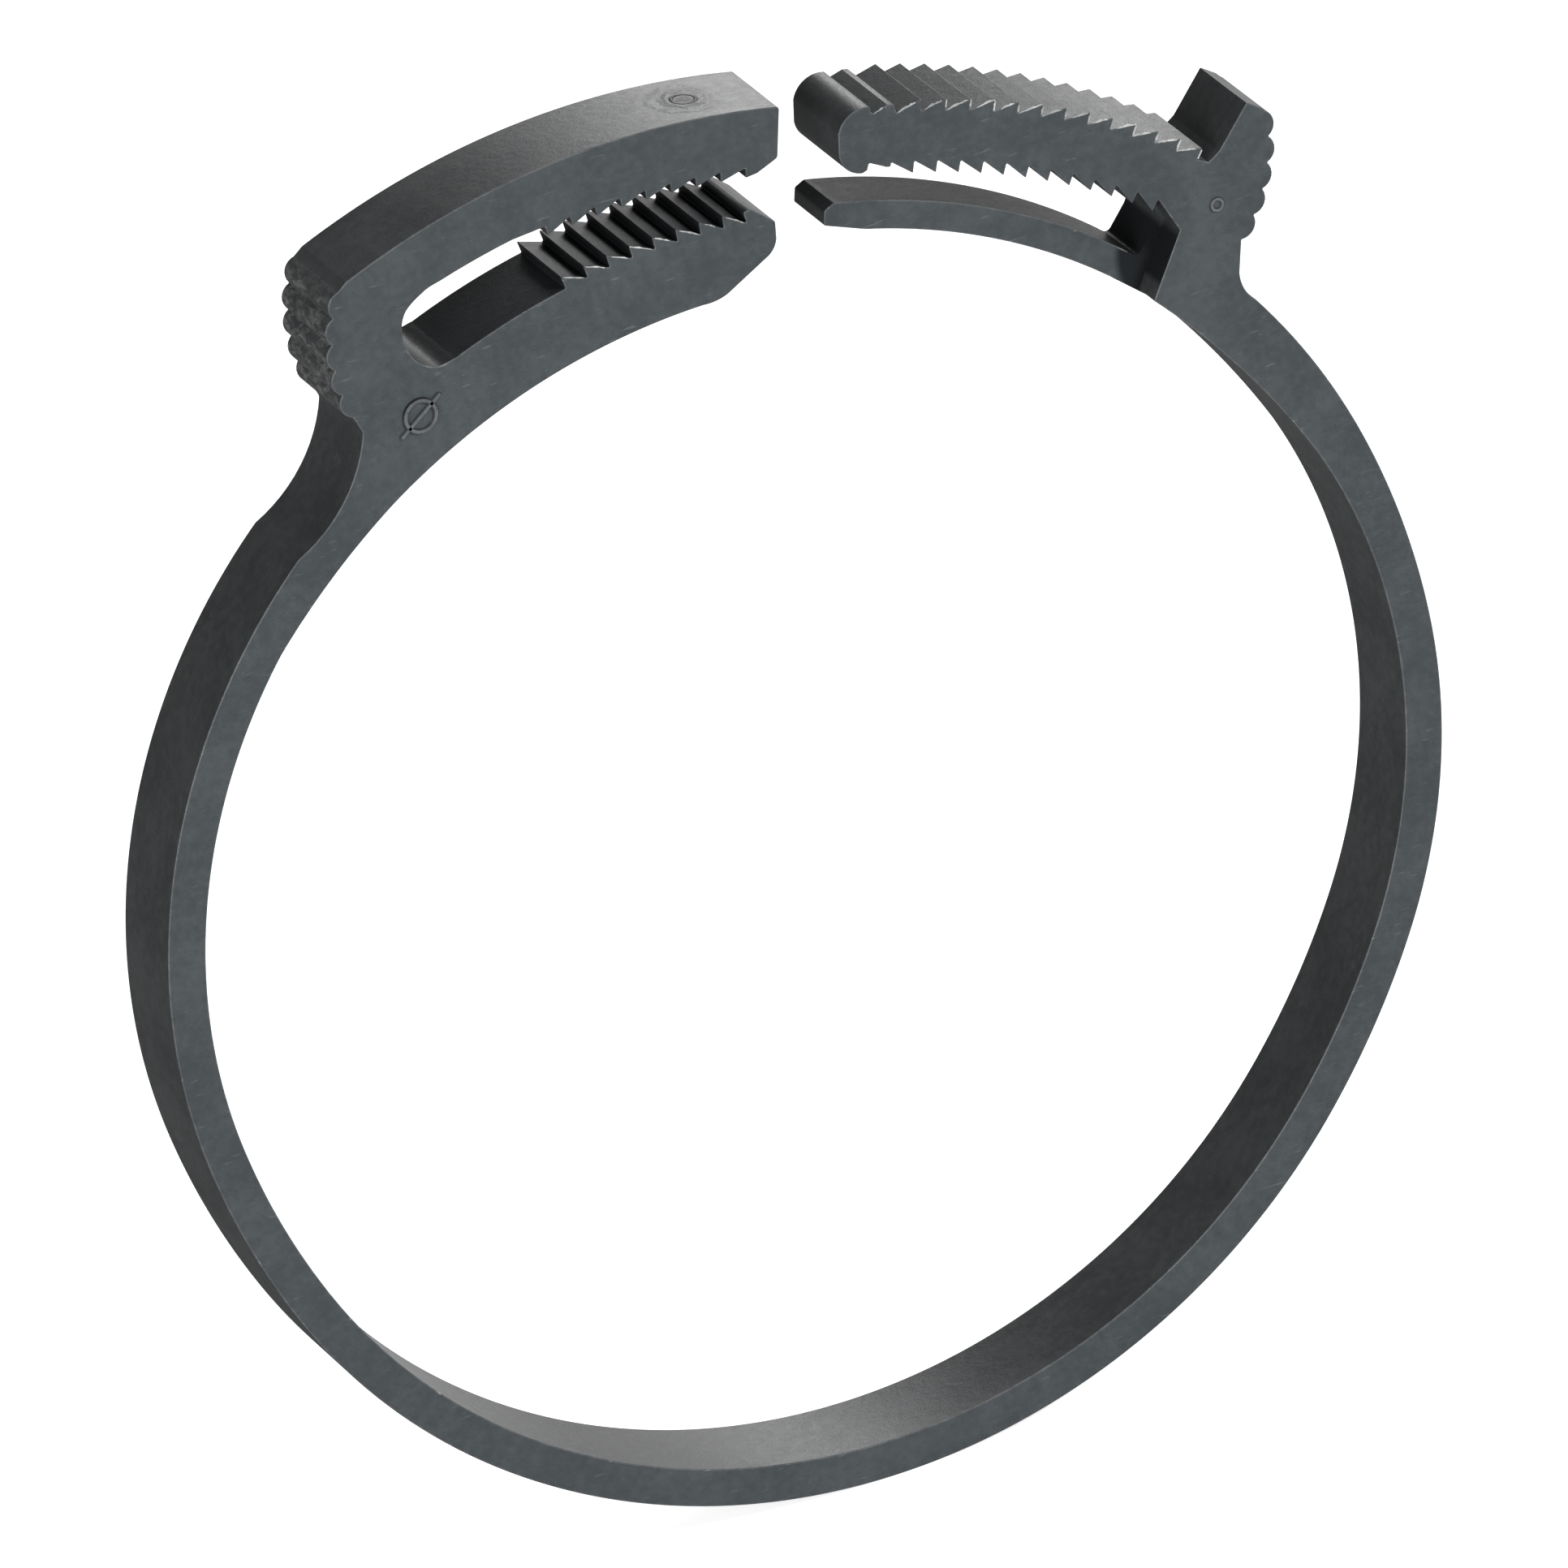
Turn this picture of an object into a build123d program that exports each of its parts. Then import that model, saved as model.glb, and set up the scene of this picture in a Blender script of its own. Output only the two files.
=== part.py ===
from build123d import *
import os
from math import atan2, cos, degrees, hypot, radians, sin

# Double-grip plastic hose clamp, moulded in one piece.
# Frame: the origin is on the axis of the hose that the clamp holds, half way through the
# width. The hose axis is Y, +Z is up and -Y is the front face. Lengths are millimetres
# and angles are degrees, measured from +X towards +Z. Outlines are drawn about the ring's
# centre, and the solids are written about the hose axis, which lies a little lower.
# Each part of the moulding that keeps its shape while the clamp works is one solid, and
# narrow gaps mark the lines where the plastic bends.

# ---------------------------------------------------------------- driving dimensions
WIDTH = 7.6                       # along the hose axis
BAND_THICKNESS = 2.8
PLUG_NECK_THICKNESS = 3.42        # the band swells to this at its last bend line before the plug
SEAT_RADIUS = 44.4                # inner radius of the round seat at the bottom of the ring
SEAT_DROP = 1.1                   # how far the seat's centre lies below the ring's centre
SEAT_END = 56.0                   # the seat runs this far to each side of the bottom
FLANK_RADIUS = 56.5               # inner radius of the flatter flanks above the seat
FLANK_END = 70.0
SHOULDER_RADIUS = 41.7            # inner radius above the flanks, up to the jaws
BOTTOM_DIRECTION = 262.5          # the bottom of the ring, opposite the jaws
HOSE_DROP = 1.24                  # the hose axis, towards the bottom from the ring's centre
BEND_LINES = [15.0, 45.0, 75.0, 101.0, 122.0]   # on each side, measured from the bottom
BEND_GAP = 0.24                   # slit left at a bend line of the band

TOOTH_PITCH = 2.0                 # as an angle about a rack's own centre
TOOTH_BACKING = 0.3               # solid strip under a loose rack's teeth
RACK_UNDERCUT = 0.07              # how far a lower tooth leans into the slot, as an angle

SOCKET_CENTRE = (-2.6, -1.4)      # the socket's racks turn about this point
LOWER_VALLEY_RADIUS = 49.66
LOWER_TOOTH_HEIGHT = 0.93
LOWER_RACK_START = 83.9           # first valley, at the mouth
LOWER_RACK_TEETH = 8
UPPER_RACK_START = 83.8
UPPER_RACK_TEETH = 9
UPPER_TOOTH_HEIGHT = 0.72
UPPER_MOUTH_RADIUS = 53.7         # the upper prong closes towards the mouth ...
UPPER_OPENING_RATE = 0.06         # ... by this much for each degree
UPPER_OUTER_CENTRE = (-6.2, 1.53)
UPPER_OUTER_RADIUS = 55.56
LIP_CENTRE = (-1.4, -3.4)         # inner face of the socket jaw
LIP_RADIUS = 46.45
UPPER_ROOT_DIRECTION = 108.0      # bend line of the upper prong, about the socket centre
UPPER_ROOT_GAP = 0.16             # slit left there, as an angle
UPPER_RACK_LEAD = 0.9             # the rack's strip runs this far past its first valley
LOWER_RACK_LEAD = 1.9
LOWER_ROOT_DIRECTION = 106.0      # where the lower prong leaves the head

PLUG_CENTRE = (2.05, -0.4)        # the tongue's racks turn about this point
TONGUE_INNER_RADIUS = 49.87       # over the inner tooth tips
TONGUE_INNER_DEPTH = 0.9
TONGUE_INNER_START = 52.6         # innermost tip, next to the head
TONGUE_INNER_TEETH = 12
TONGUE_OUTER_RADIUS = 55.25       # over the outer tooth tips
TONGUE_OUTER_DEPTH = 0.88
TONGUE_OUTER_START = 51.18
TONGUE_OUTER_PITCH = 1.95
TONGUE_OUTER_TEETH = 13
TONGUE_OUTER_LEAN = 0.06          # how far an outer tooth leans back, as an angle
TONGUE_ROOT_DIRECTION = 50.2      # where the tongue leaves its head
TONGUE_ROOT_RAISE = 0.2           # its inner side starts this far above the tooth tips

GUARD_OUTER_RADIUS = 47.25        # the guard tail is concentric with the ring
GUARD_THICKNESS = 2.1
GUARD_START = 47.4
GUARD_TIP = 78.4
GUARD_TIP_CHAMFER = 0.5
GUARD_TAPER = 4.0                 # the last degrees of its inner face rise to the tip ...
GUARD_TAPER_DEPTH = 0.5           # ... by this much
GUARD_WIDTH = 5.05                # the guard takes the back of the width
LIP_WIDTH = 2.4                   # the socket's front lip takes the rest
GUARD_GAP = 0.16
POCKET_ROOF = [(81.0, 48.95), (98.0, 47.98), (114.0, 47.5)]   # direction and radius
POCKET_FLOOR_RADIUS = 40.0
POCKET_MOUTH_RISE = 0.4           # the roof opens towards the mouth of the pocket

GRIP_RIBS = 5
RIB_BULGE = 0.5


# ---------------------------------------------------------------- points and outlines
def polar(centre, radius, direction):
    return (
        centre[0] + radius * cos(radians(direction)),
        centre[1] + radius * sin(radians(direction)),
    )


SEAT_CENTRE = polar((0, 0), SEAT_DROP, BOTTOM_DIRECTION)
HALF_GAP = degrees(BEND_GAP / 2 / SEAT_RADIUS)
HEAD_START = BEND_LINES[-1] + HALF_GAP      # both heads start here, to either side


def band_point(offset, depth):
    """A point of the band, at an angle from the bottom and a depth from its inner face."""
    direction = BOTTOM_DIRECTION + offset
    if abs(offset) <= SEAT_END:
        return polar(SEAT_CENTRE, SEAT_RADIUS + depth, direction)
    side = 1 if offset > 0 else -1
    flank_centre = polar(SEAT_CENTRE, SEAT_RADIUS - FLANK_RADIUS, BOTTOM_DIRECTION + side * SEAT_END)
    if abs(offset) <= FLANK_END:
        return polar(flank_centre, FLANK_RADIUS + depth, direction)
    shoulder_centre = polar(flank_centre, FLANK_RADIUS - SHOULDER_RADIUS,
                            BOTTOM_DIRECTION + side * FLANK_END)
    return polar(shoulder_centre, SHOULDER_RADIUS + depth, direction)


def band_arcs(start, end, depth):
    """The band's inner or outer line between two offsets, as tangent arcs."""
    joins = [j for j in (-FLANK_END, -SEAT_END, SEAT_END, FLANK_END) if start < j < end]
    stops = [start] + joins + [end]
    return [
        ThreePointArc(band_point(a, depth), band_point((a + b) / 2, depth), band_point(b, depth))
        for a, b in zip(stops, stops[1:])
    ]


def outer_depth(offset):
    """The band's thickness at an offset: even, but swelling towards the plug jaw."""
    start, end = BEND_LINES[-2:]
    swelling = max(0.0, (offset - start) / (end - start)) ** 2
    return BAND_THICKNESS + swelling * (PLUG_NECK_THICKNESS - BAND_THICKNESS)


def outer_point(offset):
    return band_point(offset, outer_depth(offset))


def path(*points):
    """Straight runs through the points."""
    return [Line(a, b) for a, b in zip(points, points[1:])]


def arc_about(centre, radius, start, end):
    """An arc about a centre between two directions."""
    middle = (start + end) / 2
    return ThreePointArc(polar(centre, radius, start), polar(centre, radius, middle),
                         polar(centre, radius, end))


def direction_of(point, centre):
    return degrees(atan2(point[1] - centre[1], point[0] - centre[0]))


def arc_between(centre, start, end):
    """The arc about a centre that joins two points lying on it."""
    radius = hypot(start[0] - centre[0], start[1] - centre[1])
    middle = (direction_of(start, centre) + direction_of(end, centre)) / 2
    return ThreePointArc(start, polar(centre, radius, middle), end)


def slab(edges, front=-WIDTH / 2, back=WIDTH / 2):
    """A flat solid with the given outline in XZ, from y = front to y = back."""
    plane = Plane(origin=(0, back, 0), x_dir=(1, 0, 0), z_dir=(0, -1, 0))
    return extrude(plane * make_face(edges), amount=back - front)


def grip_ribs(first, middle, last, outward):
    """Rounded finger ribs: bulges between notches that lie evenly on an arc."""
    spine = ThreePointArc(first, middle, last)
    notches = [spine @ (i / GRIP_RIBS) for i in range(GRIP_RIBS + 1)]
    ribs = []
    for i in range(GRIP_RIBS):
        crest = spine @ ((i + 0.5) / GRIP_RIBS)
        normal = spine % ((i + 0.5) / GRIP_RIBS)
        normal = Vector(normal.Y, -normal.X) * outward
        ribs.append(ThreePointArc(notches[i], crest + normal * RIB_BULGE, notches[i + 1]))
    return ribs


# ---------------------------------------------------------------- the band
def band_segment(start, end):
    a = start + HALF_GAP
    b = end - HALF_GAP
    inner = band_arcs(a, b, 0)
    if b > BEND_LINES[-2]:
        outer = [ThreePointArc(outer_point(a), outer_point((a + b) / 2), outer_point(b))]
    else:
        outer = band_arcs(a, b, BAND_THICKNESS)
    sides = [
        Line(band_point(a, 0), outer_point(a)),
        Line(band_point(b, 0), outer_point(b)),
    ]
    return slab(inner + outer + sides)


def band_nodes():
    first = BEND_LINES[0]
    nodes = {
        "band_bottom_left": band_segment(-first, 0),
        "band_bottom_right": band_segment(0, first),
    }
    for i, (a, b) in enumerate(zip(BEND_LINES, BEND_LINES[1:]), start=1):
        nodes[f"band_left_{i}"] = band_segment(-b, -a)
        nodes[f"band_right_{i}"] = band_segment(a, b)
    return nodes


# ---------------------------------------------------------------- the socket jaw
SOCKET_NECK = -130.6              # here the head leaves the band's outer face
LIP_START = (-26.0, 36.0)
SLOT_TOP_END = (-14.4, 52.28)
SLOT_TOP_ROOT = (-21.3, 50.65)
SLOT_BOTTOM_START = (-11.15, 47.5)
SLOT_BOTTOM_ROOT = (-19.8, 45.12)


def upper_backing(direction):
    radius = UPPER_MOUTH_RADIUS + UPPER_OPENING_RATE * (direction - UPPER_RACK_START)
    return polar(SOCKET_CENTRE, radius + TOOTH_BACKING, direction)


def slot_top(direction):
    """Roof of the plain part of the slot, a little flatter than the racks."""
    start = direction_of(SLOT_TOP_END, SOCKET_CENTRE)
    end = direction_of(SLOT_TOP_ROOT, SOCKET_CENTRE)
    radius_start = hypot(SLOT_TOP_END[0] - SOCKET_CENTRE[0], SLOT_TOP_END[1] - SOCKET_CENTRE[1])
    radius_end = hypot(SLOT_TOP_ROOT[0] - SOCKET_CENTRE[0], SLOT_TOP_ROOT[1] - SOCKET_CENTRE[1])
    part = (direction - start) / (end - start)
    return polar(SOCKET_CENTRE, radius_start + part * (radius_end - radius_start), direction)


def seen_from_socket(direction, centre, radius):
    """Where a ray from the socket centre meets a circle about another centre."""
    ray = polar((0, 0), 1, direction)
    dx = SOCKET_CENTRE[0] - centre[0]
    dz = SOCKET_CENTRE[1] - centre[1]
    along = ray[0] * dx + ray[1] * dz
    reach = -along + (along**2 - dx**2 - dz**2 + radius**2) ** 0.5
    return polar(SOCKET_CENTRE, reach, direction)


def lip_point(direction):
    """A point of the jaw's inner face."""
    return seen_from_socket(direction, LIP_CENTRE, LIP_RADIUS)


def upper_outer_point(direction):
    """A point of the upper prong's outer face."""
    return seen_from_socket(direction, UPPER_OUTER_CENTRE, UPPER_OUTER_RADIUS)


def guard_pocket(mouth):
    """The space the guard tail slides into, cut this many degrees past its mouth."""
    roof = [polar(SOCKET_CENTRE, radius, direction) for direction, radius in POCKET_ROOF]
    near, near_radius = POCKET_ROOF[0]
    floor_far = polar(SOCKET_CENTRE, POCKET_FLOOR_RADIUS, POCKET_ROOF[-1][0])
    floor_near = polar(SOCKET_CENTRE, POCKET_FLOOR_RADIUS, near - mouth)
    roof_near = polar(SOCKET_CENTRE, near_radius + POCKET_MOUTH_RISE, near - mouth)
    outline = [ThreePointArc(roof[0], roof[1], roof[2])]
    outline += path(roof[2], floor_far, floor_near, roof_near, roof[0])
    return slab(outline, front=-WIDTH / 2 + LIP_WIDTH, back=WIDTH)


def socket_head():
    """Grip pad, closed end of the slot and the root of the lower prong."""
    inner_start = band_point(-HEAD_START, 0)
    outer_start = band_point(-HEAD_START, BAND_THICKNESS)
    neck_start = band_point(SOCKET_NECK, BAND_THICKNESS)
    neck_side = (-27.38, 41.9)
    rib_bottom = (-27.9, 43.2)
    rib_top = (-27.5, 52.6)
    corner = (-26.8, 53.13)
    split_outer = upper_outer_point(UPPER_ROOT_DIRECTION)
    split_inner = slot_top(UPPER_ROOT_DIRECTION)
    split_lower = lower_root_top()
    split_lip = lip_point(LOWER_ROOT_DIRECTION)
    outline = path(inner_start, outer_start)
    outline += band_arcs(SOCKET_NECK, -HEAD_START, BAND_THICKNESS)
    outline += [ThreePointArc(neck_start, (-28.0, 39.95), neck_side)]
    outline += path(neck_side, rib_bottom)
    outline += grip_ribs(rib_bottom, (-28.62, 47.85), rib_top, outward=-1)
    outline += path(rib_top, corner)
    outline += [arc_between(UPPER_OUTER_CENTRE, corner, split_outer)]
    outline += path(split_outer, split_inner)
    slot_middle = (UPPER_ROOT_DIRECTION + direction_of(SLOT_TOP_ROOT, SOCKET_CENTRE)) / 2
    outline += [ThreePointArc(split_inner, slot_top(slot_middle), SLOT_TOP_ROOT)]
    outline += [Spline([SLOT_TOP_ROOT, (-22.95, 49.5), (-23.4, 47.7), (-22.75, 45.85),
                        (-21.35, 44.93), SLOT_BOTTOM_ROOT])]
    outline += path(SLOT_BOTTOM_ROOT, split_lower, split_lip)
    outline += [arc_between(LIP_CENTRE, split_lip, LIP_START)]
    outline += [ThreePointArc(LIP_START, (-30.35, 32.85), inner_start)]
    return slab(outline) - guard_pocket(1)


def upper_prong():
    """Springy outer prong of the socket, up to the strip that carries its teeth."""
    root = UPPER_ROOT_DIRECTION - UPPER_ROOT_GAP
    rack_end = direction_of(SLOT_TOP_END, SOCKET_CENTRE)
    rack_start = UPPER_RACK_START - UPPER_RACK_LEAD
    tip_top = (6.35, 55.65)
    tip_bottom = (5.65, 52.0)
    outline = [arc_between(UPPER_OUTER_CENTRE, upper_outer_point(root), tip_top)]
    outline += path(tip_top, tip_bottom, (4.7, 51.62), upper_backing(rack_start))
    outline += [ThreePointArc(upper_backing(rack_start), upper_backing((rack_start + rack_end) / 2),
                              upper_backing(rack_end))]
    outline += path(upper_backing(rack_end), slot_top(rack_end))
    outline += [ThreePointArc(slot_top(rack_end), slot_top((rack_end + root) / 2), slot_top(root))]
    outline += path(slot_top(root), upper_outer_point(root))
    return slab(outline)


def upper_teeth():
    """Ratchet teeth under the upper prong: steep faces look into the slot."""
    rack_end = direction_of(SLOT_TOP_END, SOCKET_CENTRE)
    rack_start = UPPER_RACK_START - UPPER_RACK_LEAD
    points = [upper_backing(rack_start), (4.0, 51.35)]
    for tooth in range(UPPER_RACK_TEETH):
        valley = UPPER_RACK_START + tooth * TOOTH_PITCH
        radius = UPPER_MOUTH_RADIUS + UPPER_OPENING_RATE * tooth * TOOTH_PITCH
        if tooth == 0:
            points.append(polar(SOCKET_CENTRE, radius - UPPER_TOOTH_HEIGHT, valley))
        points.append(polar(SOCKET_CENTRE, radius, valley))
        if tooth < UPPER_RACK_TEETH - 1:
            points.append(polar(SOCKET_CENTRE, radius + 0.1 - UPPER_TOOTH_HEIGHT, valley + TOOTH_PITCH))
    points.append(slot_top(rack_end))
    points.append(upper_backing(rack_end))
    outline = path(*points)
    outline += [ThreePointArc(upper_backing(rack_end), upper_backing((rack_start + rack_end) / 2),
                              upper_backing(rack_start))]
    return slab(outline)


def lower_root_top():
    """Top corner of the joint between the head and the lower prong."""
    return polar(SOCKET_CENTRE, LOWER_VALLEY_RADIUS - 0.2, LOWER_ROOT_DIRECTION)


def lower_prong():
    """Inner prong of the socket, hollowed behind its front lip for the guard tail."""
    top = LOWER_VALLEY_RADIUS - TOOTH_BACKING
    rack_start = LOWER_RACK_START - LOWER_RACK_LEAD
    split_top = lower_root_top()
    rack_end = direction_of(SLOT_BOTTOM_START, SOCKET_CENTRE)
    rack_end_top = polar(SOCKET_CENTRE, top, rack_end)
    tip = [polar(SOCKET_CENTRE, top, rack_start), (4.75, 47.45), (4.65, 46.2)]
    outline = path(split_top, rack_end_top)
    outline += [arc_about(SOCKET_CENTRE, top, rack_end, rack_start)]
    outline += path(*tip)
    lip_end = polar(LIP_CENTRE, LIP_RADIUS, 90)
    lip_root = lip_point(LOWER_ROOT_DIRECTION)
    outline += [ThreePointArc(tip[-1], (4.42, 45.62), (3.9, 45.1))]
    outline += path((3.9, 45.1), (0.5, 43.3))
    outline += [ThreePointArc((0.5, 43.3), (-0.4, 43.06), lip_end)]
    outline += [arc_between(LIP_CENTRE, lip_end, lip_root)]
    outline += path(lip_root, split_top)
    return slab(outline) - guard_pocket(3)


def lower_teeth():
    """Ratchet teeth on the lower prong: steep faces look into the slot."""
    base = LOWER_VALLEY_RADIUS - TOOTH_BACKING
    tip_radius = LOWER_VALLEY_RADIUS + LOWER_TOOTH_HEIGHT
    rack_start = LOWER_RACK_START - LOWER_RACK_LEAD
    rack_end = LOWER_RACK_START + LOWER_RACK_TEETH * TOOTH_PITCH
    points = [polar(SOCKET_CENTRE, base, rack_start), (3.1, 48.9), (2.5, 48.85)]
    for tooth in range(LOWER_RACK_TEETH + 1):
        valley = LOWER_RACK_START + tooth * TOOTH_PITCH
        if tooth > 0:
            points.append(polar(SOCKET_CENTRE, tip_radius, valley + RACK_UNDERCUT))
        points.append(polar(SOCKET_CENTRE, LOWER_VALLEY_RADIUS, valley))
    points.append(polar(SOCKET_CENTRE, base, rack_end))
    outline = path(*points)
    outline += [arc_about(SOCKET_CENTRE, base, rack_end, rack_start)]
    return slab(outline)


# ---------------------------------------------------------------- the plug jaw
STEP_TOP = (34.15, 37.15)         # front recess: the wall that the socket's lip meets
STEP_BOTTOM = (31.45, 32.6)


def plug_head():
    """Grip pad, stop lug and the roots of the tongue and of the guard tail."""
    inner_start = band_point(HEAD_START, 0)
    outer_start = outer_point(HEAD_START)
    neck_top = (39.0, 30.2)
    neck_side = (38.05, 32.6)
    rib_bottom = (38.55, 35.0)
    rib_top = (41.75, 43.85)
    lug_foot = (37.95, 42.05)
    root_radius = TONGUE_OUTER_RADIUS - TONGUE_OUTER_DEPTH
    tongue_outer = polar(PLUG_CENTRE, root_radius, TONGUE_ROOT_DIRECTION)
    tongue_inner = polar(PLUG_CENTRE, TONGUE_INNER_RADIUS + TONGUE_ROOT_RAISE, TONGUE_ROOT_DIRECTION)
    guard_root = GUARD_START - degrees(GUARD_GAP / GUARD_OUTER_RADIUS)
    guard_inner = polar((0, 0), GUARD_OUTER_RADIUS - GUARD_THICKNESS, guard_root)
    guard_outer = polar((0, 0), GUARD_OUTER_RADIUS, guard_root)
    shared = [ThreePointArc(outer_start, (42.36, 24.7), neck_top)]
    shared += [ThreePointArc(neck_top, (38.25, 31.3), neck_side)]
    shared += path(neck_side, rib_bottom)
    shared += grip_ribs(rib_bottom, (41.0, 39.1), rib_top, outward=1)
    shared += path(rib_top, (41.55, 44.1), (40.45, 44.9), lug_foot)
    shared += [ThreePointArc(lug_foot, (37.45, 41.72), tongue_outer)]
    shared += path(tongue_outer, tongue_inner, STEP_TOP)
    front = shared + path(STEP_TOP, STEP_BOTTOM)
    front += [ThreePointArc(STEP_BOTTOM, (33.3, 30.5), inner_start)]
    front += path(inner_start, outer_start)
    back = shared + path(STEP_TOP, guard_outer, guard_inner)
    back += [ThreePointArc(guard_inner, (33.1, 30.85), inner_start)]
    back += path(inner_start, outer_start)
    edge = WIDTH / 2 - GUARD_WIDTH
    return slab(front, back=edge) + slab(back, front=edge)


def tongue():
    """Toothed tongue that slides into the socket; its steep faces look back at the head."""
    outer_root = TONGUE_OUTER_RADIUS - TONGUE_OUTER_DEPTH
    points = [polar(PLUG_CENTRE, TONGUE_INNER_RADIUS + TONGUE_ROOT_RAISE, TONGUE_ROOT_DIRECTION),
              polar(PLUG_CENTRE, outer_root, TONGUE_ROOT_DIRECTION)]
    for tooth in range(TONGUE_OUTER_TEETH):
        tip = TONGUE_OUTER_START + tooth * TONGUE_OUTER_PITCH
        points.append(polar(PLUG_CENTRE, outer_root, tip - TONGUE_OUTER_LEAN))
        points.append(polar(PLUG_CENTRE, TONGUE_OUTER_RADIUS, tip))
    points += [(14.75, 52.41), (14.65, 53.15), (14.2, 53.25), (12.95, 52.92), (12.9, 53.5)]
    nose = [ThreePointArc((12.9, 53.5), (11.4, 53.42), (10.3, 52.2))]
    nose += path((10.3, 52.2), (10.1, 50.6))
    nose += [ThreePointArc((10.1, 50.6), (10.5, 49.5), (11.6, 48.85))]
    inner = [(11.6, 48.85), (12.0, 48.95), (12.2, 49.45), (13.4, 48.75), (13.75, 48.65)]
    last = TONGUE_INNER_START + (TONGUE_INNER_TEETH - 1) * TOOTH_PITCH
    inner.append(polar(PLUG_CENTRE, TONGUE_INNER_RADIUS + TONGUE_INNER_DEPTH, last + TOOTH_PITCH))
    for tooth in reversed(range(TONGUE_INNER_TEETH)):
        tip = TONGUE_INNER_START + tooth * TOOTH_PITCH
        inner.append(polar(PLUG_CENTRE, TONGUE_INNER_RADIUS, tip))
        inner.append(polar(PLUG_CENTRE, TONGUE_INNER_RADIUS + TONGUE_INNER_DEPTH, tip))
    inner.append(points[0])
    return slab(path(*points) + nose + path(*inner))


def guard_tail():
    """Thin finger that bridges the joint under the socket and keeps the hose from pinching."""
    inner_radius = GUARD_OUTER_RADIUS - GUARD_THICKNESS
    chamfer = degrees(GUARD_TIP_CHAMFER / GUARD_OUTER_RADIUS)
    taper_start = GUARD_TIP - GUARD_TAPER
    outline = [arc_about((0, 0), inner_radius, GUARD_START, taper_start)]
    outline += path(polar((0, 0), inner_radius, taper_start),
                    polar((0, 0), inner_radius + GUARD_TAPER_DEPTH, GUARD_TIP),
                    polar((0, 0), GUARD_OUTER_RADIUS - GUARD_TIP_CHAMFER, GUARD_TIP),
                    polar((0, 0), GUARD_OUTER_RADIUS, GUARD_TIP - chamfer))
    outline += [arc_about((0, 0), GUARD_OUTER_RADIUS, GUARD_TIP - chamfer, GUARD_START)]
    outline += path(polar((0, 0), GUARD_OUTER_RADIUS, GUARD_START),
                    polar((0, 0), inner_radius, GUARD_START))
    return slab(outline, front=WIDTH / 2 - GUARD_WIDTH)


# ---------------------------------------------------------------- write the nodes
nodes = band_nodes()
nodes["socket_head"] = socket_head()
nodes["upper_prong"] = upper_prong()
nodes["upper_teeth"] = upper_teeth()
nodes["lower_prong"] = lower_prong()
nodes["lower_teeth"] = lower_teeth()
nodes["plug_head"] = plug_head()
nodes["tongue"] = tongue()
nodes["guard_tail"] = guard_tail()

hose_x, hose_z = polar((0, 0), HOSE_DROP, BOTTOM_DIRECTION)
os.makedirs("parts", exist_ok=True)
for name, shape in nodes.items():
    export_step(Pos(-hose_x, 0, -hose_z) * shape, f"parts/{name}.step")
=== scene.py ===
import math
import random

import bpy
import numpy as np
from mathutils import Matrix, Vector


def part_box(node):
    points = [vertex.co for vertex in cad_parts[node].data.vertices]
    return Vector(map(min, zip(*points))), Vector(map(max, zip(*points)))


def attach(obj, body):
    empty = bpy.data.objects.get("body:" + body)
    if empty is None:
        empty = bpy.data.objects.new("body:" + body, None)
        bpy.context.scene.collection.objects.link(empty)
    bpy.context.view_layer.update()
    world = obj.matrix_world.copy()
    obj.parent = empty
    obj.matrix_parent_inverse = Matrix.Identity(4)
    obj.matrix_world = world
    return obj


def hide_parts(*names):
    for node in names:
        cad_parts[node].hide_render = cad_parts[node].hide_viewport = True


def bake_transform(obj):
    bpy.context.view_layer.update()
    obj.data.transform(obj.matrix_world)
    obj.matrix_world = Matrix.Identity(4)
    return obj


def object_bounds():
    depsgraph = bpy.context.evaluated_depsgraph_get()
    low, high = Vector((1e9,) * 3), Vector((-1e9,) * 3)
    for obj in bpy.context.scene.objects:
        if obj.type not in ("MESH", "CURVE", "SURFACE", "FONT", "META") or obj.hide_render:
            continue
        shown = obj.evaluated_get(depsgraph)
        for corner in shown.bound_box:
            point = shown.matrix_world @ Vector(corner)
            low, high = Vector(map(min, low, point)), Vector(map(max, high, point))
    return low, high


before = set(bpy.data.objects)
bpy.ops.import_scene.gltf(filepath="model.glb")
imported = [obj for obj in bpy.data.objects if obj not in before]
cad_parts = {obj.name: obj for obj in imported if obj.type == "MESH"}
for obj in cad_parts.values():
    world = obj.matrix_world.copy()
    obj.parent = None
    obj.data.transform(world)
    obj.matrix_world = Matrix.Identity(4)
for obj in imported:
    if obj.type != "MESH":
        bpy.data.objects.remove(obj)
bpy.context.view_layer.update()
MM = 0.001

# ------------------------------------------------------------------ dimensions, as in the CAD
# Outlines are drawn in millimetres about the ring's centre: x to the right, z up, angles in degrees.
# A place on the band is named by its offset, the angle from the bottom, positive to the right.
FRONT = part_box("socket_head")[0].y / MM
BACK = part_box("socket_head")[1].y / MM
BAND_THICKNESS = 2.8
PLUG_NECK_THICKNESS = 3.42
SEAT_RADIUS, SEAT_DROP, SEAT_END = 44.4, 1.1, 56.0
FLANK_RADIUS, FLANK_END = 56.5, 70.0
SHOULDER_RADIUS = 41.7
BOTTOM = 262.5                                      # direction of the band's bottom
HOSE_DROP = 1.24
SWELLING_START, SWELLING_END = 101.0, 122.0         # where the band thickens towards the plug jaw
LINES_START = 75.0                                  # beyond this the band follows the jaws' lines
SPLITS = (7.5, 30.0, 60.0, 88.0, 111.5, 126.5)      # where one piece of the band meets the next
PITCH = 2.0

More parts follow.
